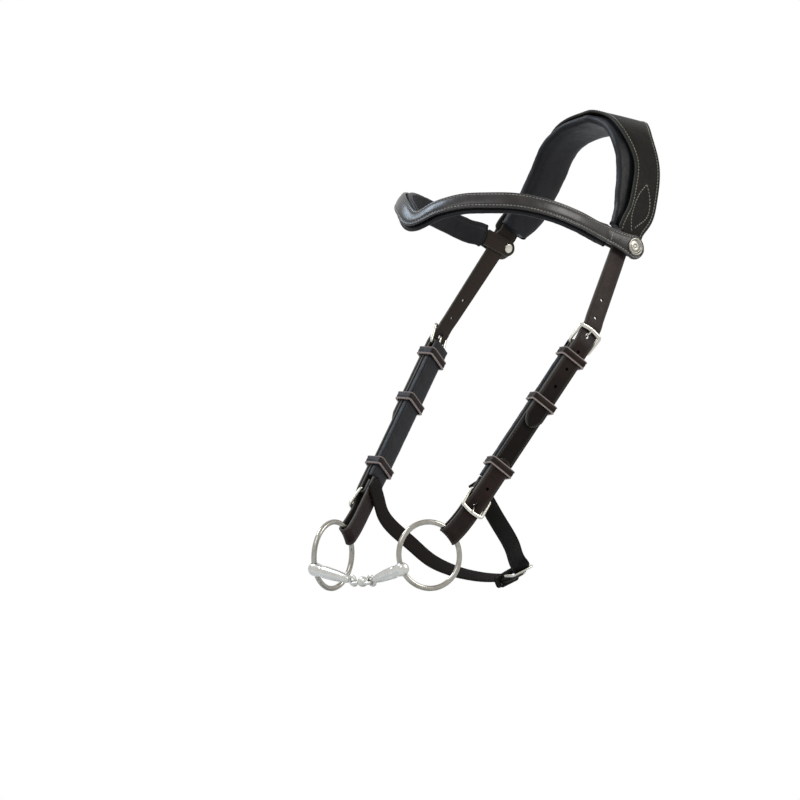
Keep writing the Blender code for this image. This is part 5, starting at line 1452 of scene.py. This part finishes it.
def buckle_tongue(label, place, turn):
    """A tongue with its eye round the bar, bent up through the hole and lying on the nose."""
    nose = Vector((NOSE_LEVEL, BUCKLE_LENGTH + BUCKLE_NOSE_BOW))
    hole = Vector((HOLE_AT.x, HOLE_AT.z))
    clear = BAR_RADIUS + GAP + TONGUE_WIRE / 2
    to_nose = nose - hole
    rise = math.atan2(to_nose.x, to_nose.y) + math.asin(clear / to_nose.length)
    direction = Vector((math.sin(rise), math.cos(rise)))
    touch = hole + direction * math.sqrt(to_nose.length**2 - clear**2)
    knee = hole - direction * (hole.x / direction.x)
    eye = BAR_RADIUS + BAR_PLAY + TONGUE_EYE_THICK / 2
    wire = TONGUE_WIRE / 2
    line, sizes = [], []
    for i in range(25):
        angle = TONGUE_EYE_START - TONGUE_EYE_TURN * i / 24
        line.append(Vector((math.cos(angle), math.sin(angle))) * eye)
        sizes.append((TONGUE_EYE_WIDTH / 2, TONGUE_EYE_THICK / 2))
    start = Vector((0.0, knee.y - TONGUE_WIRE))
    bend = knee + direction * TONGUE_WIRE
    for t in (0.0, 0.25, 0.5, 0.75, 1.0):
        line.append(start * (1 - t) ** 2 + knee * 2 * t * (1 - t) + bend * t * t)
        sizes.append((wire * (1.35 - 0.35 * t), wire * (0.8 + 0.2 * t)))
    for t in (0.25, 0.5, 0.75, 1.0):
        line.append(bend.lerp(touch, t))
        sizes.append((wire, wire))
    first = math.atan2(touch.y - nose.y, touch.x - nose.x)
    for share in [i / 8 for i in range(1, 9)]:
        angle = first + (TONGUE_TIP_PAST_NOSE - first) * share
        line.append(nose + Vector((math.cos(angle), math.sin(angle))) * clear)
        narrow = wire * math.sqrt(max(0.12, 1.0 - share**4))
        sizes.append((narrow, narrow * (1.0 - 0.15 * share)))
    path = [place @ Vector((p.x, 0.0, p.y * turn)) for p in line]
    name = f"{label}_tongue"
    across = aimed(place, 0.0, 1.0, 0.0)
    dressed(tube(f"{name}_steel", path, sizes, name, across, sides=16), name)


def buckle(label, place, strap_width, turn):
    buckle_frame(label, place, strap_width, turn)
    buckle_tongue(label, place, turn)


def ring_direction(front):
    """Where the bit strap meets the ring: place on the wire and direction, as (y, z)."""
    radius = BIT_STRAP_REACH / (2 * math.sin(BIT_STRAP_TURN / 2))

    def at(share):
        angle = BIT_STRAP_TURN * share
        point = Vector((front * radius * (1 - math.cos(angle)), -BUCKLE_LENGTH - radius * math.sin(angle)))
        direction = Vector((front * math.sin(angle), -math.cos(angle)))
        return point, direction

    return at


def ring_centre(front):
    point, direction = ring_direction(front)(1.0)
    centre = point + direction * RING_RADIUS
    return Vector((RING_LEVEL, centre.x, centre.y))


def bit_strap(label, side):
    """Down behind the buckle, round the ring and back up through the buckle to its tip."""
    place = cheek_frame(side)
    arc = ring_direction(-side)
    half = STRAP_WIDTH / 2
    flat = Vector((0.0, half, 0.0))
    rows = [(Vector((INNER_LEG_LEVEL, 0.0, BIT_STRAP_SEAM_LENGTH)), flat)]
    shares = [i / 12 for i in range(13)]

    def leg(level, side_of_ring, share):
        (y, z), (along_y, along_z) = arc(share)
        x = level + (RING_LEVEL + RING_FOLD_RADIUS * side_of_ring - level) * eased(share)
        return Vector((x, y, z)), Vector((0.0, -along_z * half, along_y * half))

    rows += [leg(INNER_LEG_LEVEL, -1, share) for share in shares]
    point, direction = arc(1.0)
    half_across = rows[-1][1]
    first_fold = len(rows)
    for i in range(1, FOLD_PIECES):
        angle = math.pi * i / FOLD_PIECES
        y, z = point + direction * RING_FOLD_RADIUS * math.sin(angle)
        rows.append((Vector((RING_LEVEL - RING_FOLD_RADIUS * math.cos(angle), y, z)), half_across))
    last_fold = len(rows) - 1
    rows += [leg(NOSE_BILLET_LEVEL, 1, share) for share in reversed(shares)]
    rows += [(Vector((HOLE_AT.x, 0.0, -HOLE_AT.z)), flat), (Vector((BILLET_LEVEL, 0.0, 0.0)), flat)]
    tip = BIT_STRAP_TIP_ABOVE_BAR
    wide = pointed(tip, STRAP_WIDTH)
    for i in range(19):
        up = tip - BILLET_TIP_LENGTH * (1 - i / 18)
        rows.append((Vector((BILLET_LEVEL, 0.0, up)), Vector((0.0, wide(up) / 2, 0.0))))
    fine = refined(rows, ease=3, fixed=lambda i: first_fold - 1 <= i <= last_fold or i > len(rows) - 20)
    fine = [(place @ centre, aimed(place, *across)) for centre, across in fine]
    obj = strap(f"{label}_bit_leather", oriented(fine, -1.0), BIT_LEATHER, BIT_STRAP_SWELL)
    sag = RING_RADIUS - math.sqrt(RING_RADIUS**2 - half**2)
    ring = place @ Vector((RING_LEVEL, *point))
    down = aimed(place, 0.0, *direction)
    sideways = aimed(place, *half_across.normalized())
    for vertex in obj.data.vertices:
        from_ring = vertex.co - ring
        near = clamped(from_ring.dot(down) / RING_FOLD_RADIUS + 0.15)
        vertex.co += down * sag * (from_ring.dot(sideways) / half) ** 2 * near
    along = Vector((BUCKLE_TILT_DROP, 0.0, BUCKLE_LENGTH)).normalized()
    out = Vector((along.z, 0.0, -along.x))
    used_at = Vector((HOLE_AT.x, 0.0, -HOLE_AT.z)) + along * USED_HOLE_SET_BACK
    used = place @ Matrix.Translation(used_at) @ axes(along, out.cross(along), out)
    spare = place @ Matrix.Translation((BILLET_LEVEL, 0.0, HOLE_PITCH - HOLE_AT.z)) @ X_AXIS_TURN
    cut(obj, [
        cylinder(HOLE_RADIUS, STRAP_THICK * 2, used, USED_HOLE_STRETCH_SHARE),
        cylinder(SPARE_HOLE_RADIUS, STRAP_THICK * 2, spare),
    ])
    dressed(obj, f"{label}_bit_strap")


def finish_steel(obj, name, body, node_name, material):
    """Names a primitive, puts its place into its mesh and gives it its steel."""
    obj.name = name
    obj.data.transform(obj.matrix_world)
    obj.matrix_world = Matrix.Identity(4)
    obj.data.shade_smooth()
    obj.data.materials.clear()
    obj.data.materials.append(material)
    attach(obj, body)
    dressed(obj, node_name)


def ring_place(side):
    return cheek_frame(side) @ Matrix.Translation(ring_centre(-side)) @ X_AXIS_TURN


def bit_ring(label, side):
    ring = torus(RING_RADIUS, RING_WIRE / 2, ring_place(side), 144, 28)
    finish_steel(ring, f"{label}_ring_steel", f"{label}_ring", f"{label}_bit_ring", DARKENED_RING_STEEL)


def link_eye(matrix):
    return torus(EYE_RADIUS, EYE_WIRE / 2, matrix, 56, 20)


def contact_frame(side):
    """The placement of a mouthpiece arm: origin on the ring's wire, z along the arm's hinge."""
    front = -side
    cheek = cheek_frame(side)
    centre = ring_centre(front)
    to_contact = Vector((0.0, front * math.sin(MOUTH_CONTACT_ANGLE), -math.cos(MOUTH_CONTACT_ANGLE)))
    tangent = Vector((0.0, front * math.cos(MOUTH_CONTACT_ANGLE), math.sin(MOUTH_CONTACT_ANGLE)))
    origin = cheek @ (centre + to_contact * RING_RADIUS)
    axis = cheek.to_3x3() @ tangent
    axis.x = 0.0
    return frame_of(origin, Vector((side, 0.0, 0.0)), axis)


def arm(label, side):
    """An arm of the mouthpiece: bored for its ring, and with an eye for the middle link."""
    hinge = contact_frame(side)
    inward = Vector((-(abs(hinge.translation.x) - LINK_HALF_LENGTH - EYE_RADIUS), 0.0, -ARM_DROOP))
    length = inward.length
    body_end = length - EYE_RADIUS
    profile = (
        (0.0, BUTT_RADIUS),
        (BUTT_RADIUS * 0.62, BUTT_RADIUS * 0.82),
        (BUTT_RADIUS * 0.94, BUTT_RADIUS * 0.38),
        (BUTT_RADIUS, 0.0),
        (BUTT_RADIUS * 0.96, -BUTT_RADIUS * 0.5),
        (CANNON_RADIUS * 0.90, -BUTT_LENGTH * 0.72),
        (CANNON_RADIUS, -BUTT_LENGTH),
        (CANNON_RADIUS * 0.97, -body_end * 0.45),
        (CANNON_RADIUS * 0.84, -body_end * 0.70),
        (CANNON_END_RADIUS, -body_end * 0.92),
        (CANNON_END_RADIUS * 0.6, -body_end),
        (0.0, -body_end),
    )
    lay = frame_of(Vector((0.0, 0.0, 0.0)), Vector((0.0, 0.0, 1.0)), -inward)
    profile = eased_profile(profile, 6)
    made = turned(f"{label}_arm_steel", profile, hinge @ lay, None, BIT_STEEL, 48, WIRE_SMOOTH_ANGLE)
    eye_place = hinge @ Matrix.Translation(inward) @ Matrix.Rotation(math.radians(90.0), 4, "X")
    cut(made, [link_eye(eye_place)], "UNION")
    cut(made, [torus(RING_RADIUS, RING_WIRE / 2 + BORE_PLAY, ring_place(side), 128, 28)])
    made.data.shade_smooth()
    made.data.set_sharp_from_angle(angle=BORED_SMOOTH_ANGLE)
    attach(made, f"{label}_arm")
    dressed(made, f"{label}_mouthpiece_arm")


def link():
    """The middle link of the mouthpiece, with an eye at each end."""
    contact = contact_frame(1)
    axis = contact.col[2].to_3d()
    centre = contact.translation - axis * (ARM_DROOP + EYE_RADIUS - EYE_WIRE - GAP)
    centre.x = 0.0
    place = frame_of(centre, Vector((1.0, 0.0, 0.0)), axis)
    bpy.ops.mesh.primitive_uv_sphere_add(segments=48, ring_count=24, radius=LOZENGE_RADIUS)
    obj = placed(place, LOZENGE_HALF_LENGTH / LOZENGE_RADIUS)
    ends = (LINK_HALF_LENGTH, -LINK_HALF_LENGTH)
    cut(obj, [link_eye(place @ Matrix.Translation((end, 0.0, 0.0))) for end in ends], "UNION")
    finish_steel(obj, "link_steel", "mouthpiece_link", "mouthpiece_link", BIT_STEEL)
    obj.data.set_sharp_from_angle(angle=BORED_SMOOTH_ANGLE)


def jaw_controls(side):
    """The jaw strap's route from a cheekpiece down to its lowest middle."""
    cheek = cheek_frame(side)
    front = -side
    level = LINING_BACK - GAP - STRAP_THICK / 2
    out = cheek.col[0].to_3d()
    leave_up = JAW_ANCHOR_ABOVE_BAR - (JAW_ANCHOR_FRONT + STRAP_WIDTH / 2) * JAW_LEAVE_SLOPE
    free_at = -(STRAP_WIDTH + JAW_FREE_LENGTH) / 2
    controls = []
    for forward, up, direction in (
        (JAW_ANCHOR_FRONT, JAW_ANCHOR_ABOVE_BAR, out),
        (-STRAP_WIDTH / 2, leave_up, out),
        (free_at, leave_up - JAW_FREE_LENGTH / 2 * JAW_LEAVE_SLOPE, out + Vector(JAW_FREE_LEAN_SHARES)),
    ):
        controls.append((cheek @ Vector((level, front * forward, up)), direction, JAW_STRAP_WIDTH))
    base = cheek @ Vector((level, 0.0, 0.0))
    for across, back, down, direction in JAW_ROUTE_SHARES:
        point = Vector((base.x * across, base.y + back * JAW_BACK, base.z - down * JAW_DROP))
        controls.append((point, mirrored(direction, side), JAW_STRAP_WIDTH))
    return controls


def jaw_strap():
    """The jaw strap's two parts, buckled together on the right, with their loop."""
    right, left = jaw_controls(-1), jaw_controls(1)
    route = Route(right + left[-2::-1])
    bar_at = route.length / 2 * (1 + JAW_BAR_SHARE)
    point, along, across, out, width = route.at(bar_at)
    place = frame_of(point - out * FOLD_RADIUS, out, along)
    buckle("jaw_buckle", place, JAW_STRAP_WIDTH, 1)

    rows = [(centre, half) for centre, half, out in route.rows(0.0, bar_at)]
    half = aimed(place, 0.0, JAW_STRAP_WIDTH / 2, 0.0)
    if half.dot(rows[-1][1]) < 0:
        half = -half
    fold = arc_points((0.0, 0.0), FOLD_RADIUS, 0.0, math.pi, FOLD_PIECES)[1:]
    fold.append((-FOLD_RADIUS, -CHEEK_RETURN_LENGTH))
    rows += refined([(place @ Vector((x, 0.0, z)), half) for x, z in fold])
    obj = strap("jaw_leather_right", oriented(rows), JAW_LEATHER)
    cut(obj, [slot_tool(place, 0.0, 1)])
    dressed(obj, "jaw_strap_right")

    controls = []
    for share in JAW_TIP_SHARES:
        point, along, across, out, width = route.at(bar_at - JAW_BILLET_BEYOND_BAR * (1 - share))
        controls.append((point + out * (STRAP_THICK + GAP), out, JAW_STRAP_WIDTH))
    bar_out = place.col[0].to_3d()
    for level, up in (
        (BILLET_LEVEL, 0.0),
        (HOLE_AT.x, HOLE_AT.z),
        (NOSE_BILLET_LEVEL - GAP, BUCKLE_LENGTH + BUCKLE_NOSE_BOW),
    ):
        controls.append((place @ Vector((level, 0.0, up)), bar_out, JAW_STRAP_WIDTH))
    point, along, across, out, width = route.at(bar_at + BUCKLE_LENGTH * 3 / 2)
    controls.append((point + out * (NOSE_BILLET_LEVEL - FOLD_RADIUS), out, JAW_STRAP_WIDTH))
    for control in left[3::-1]:
        if (control[0] - controls[-1][0]).length > BUCKLE_LENGTH / 2:
            controls.append(control)
    free = Route(controls)
    tip = BILLET_TIP_LENGTH
    shape = pointed(tip, JAW_STRAP_WIDTH)

    def wide(distance):
        return shape(tip - distance)

    rows = free.rows(0.0, tip, width=wide, step=TIP_STEP) + free.rows(tip, free.length, width=wide)[1:]
    obj = strap("jaw_leather_left", rows, JAW_LEATHER)
    cut(obj, punched(free, place @ HOLE_AT, JAW_UPPER_HOLE_COUNT, JAW_LOWER_HOLE_COUNT, JAW_HOLE_PITCH, -1))
    dressed(obj, "jaw_strap_left")

    keeper_at = bar_at - JAW_KEEPER_FROM_BAR
    low, high = (route.at(keeper_at + reach) for reach in (-KEEPER_HEIGHT / 2, KEEPER_HEIGHT / 2))
    at = frame_of((low[0] + high[0]) / 2, low[3] + high[3], high[0] - low[0])
    back = -STRAP_THICK / 2 - 2 * GAP
    front = STRAP_THICK * 3 / 2 + 3 * GAP
    keeper("jaw_keeper", at, back, front, JAW_STRAP_WIDTH / 2 + GAP, "bridle", JAW_LEATHER)


def build():
    headpiece()
    browband()
    for label, side in SIDES:
        place = cheek_frame(side)
        for make in (billet, tab, snap_outer, cheek_strap, cheek_lining, keepers):
            make(label, side)
        buckle(f"{label}_upper_buckle", place @ Matrix.Translation((0.0, 0.0, CHEEK_LENGTH)), STRAP_WIDTH, 1)
        buckle(f"{label}_lower_buckle", place, STRAP_WIDTH, -1)
        for make in (bit_strap, bit_ring, arm):
            make(label, side)
    link()
    jaw_strap()


# Camera and light
VIEW_AZIMUTH = math.radians(50.0)
PICTURE_WIDTH = 0.704
PICTURE_RIGHT = -0.1936
PICTURE_HEIGHT = -0.2358
CAMERA_DISTANCE = 2.0
CAMERA_CLIP = (0.05, 20.0)
FLOOR_BELOW = 0.002
FLOOR_SIZE = 12.0
LAMP_TARGET = (0.0, -0.12, -0.2)

# Each lamp's name, place, size, power and colour
LAMPS = (
    ("key", (0.55, -1.35, 0.85), 0.9, 6.0, (0.95, 0.98, 1.0)),
    ("side", (1.33, 0.83, 0.75), 0.9, 18.0, (1.0, 0.98, 0.95)),
    ("sky", (-0.84, -0.66, 0.90), 0.6, 14.0, (0.70, 0.84, 1.0)),
)


def linked(name, data, matrix):
    """An object for a camera's or a lamp's data, in its place."""
    made = bpy.data.objects.new(name, data)
    made.matrix_world = matrix
    bpy.context.scene.collection.objects.link(made)
    return made


def camera():
    data = bpy.data.cameras.new("camera")
    data.type = "ORTHO"
    data.ortho_scale = PICTURE_WIDTH
    data.clip_start, data.clip_end = CAMERA_CLIP
    right = Vector((math.cos(VIEW_AZIMUTH), math.sin(VIEW_AZIMUTH), 0.0))
    back = Vector((math.sin(VIEW_AZIMUTH), -math.cos(VIEW_AZIMUTH), 0.0))
    up = Vector((0.0, 0.0, 1.0))
    centre = right * PICTURE_RIGHT + up * PICTURE_HEIGHT + back * CAMERA_DISTANCE
    bpy.context.scene.camera = linked("camera", data, Matrix.Translation(centre) @ axes(right, up, back))


def seen_white(tree):
    """1 for rays from the camera, and for those in metal and glass."""
    path = tree.nodes.new("ShaderNodeLightPath")
    either = math_node(tree, "MAXIMUM", path.outputs["Is Camera Ray"], path.outputs["Is Glossy Ray"])
    return math_node(tree, "MAXIMUM", either, path.outputs["Is Transmission Ray"])


def world():
    made = bpy.data.worlds.new("studio")
    bpy.context.scene.world = made
    made.use_nodes = True
    tree = made.node_tree
    background = tree.nodes["Background"]
    background.inputs["Color"].default_value = (1.0, 1.0, 1.0, 1.0)
    seen = seen_white(tree)
    tree.links.new(span(tree, seen, 0.0, 1.0, 0.60, 1.0), background.inputs["Strength"])


def floor():
    low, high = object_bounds()
    place = (0.0, (low.y + high.y) / 2, low.z - FLOOR_BELOW)
    bpy.ops.mesh.primitive_plane_add(size=FLOOR_SIZE, location=place)
    obj = bpy.context.active_object
    obj.name = "floor"
    made, tree, shader = material_nodes("pale_floor")
    finished(tree, shader, (0.86, 0.86, 0.85), 0.9, (), {"Specular IOR Level": 0.2})
    obj.data.materials.append(made)
    obj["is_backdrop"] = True


def lamp(name, place, size, power, colour):
    data = bpy.data.lights.new(name, "AREA")
    data.shape = "DISK"
    data.size = size
    data.energy = power
    data.color = colour
    aim = (Vector(place) - Vector(LAMP_TARGET)).to_track_quat("Z", "Y").to_matrix().to_4x4()
    linked(name, data, Matrix.Translation(place) @ aim)


build()
camera()
world()
floor()
for row in LAMPS:
    lamp(*row)
bpy.context.scene.view_settings.view_transform = "Standard"
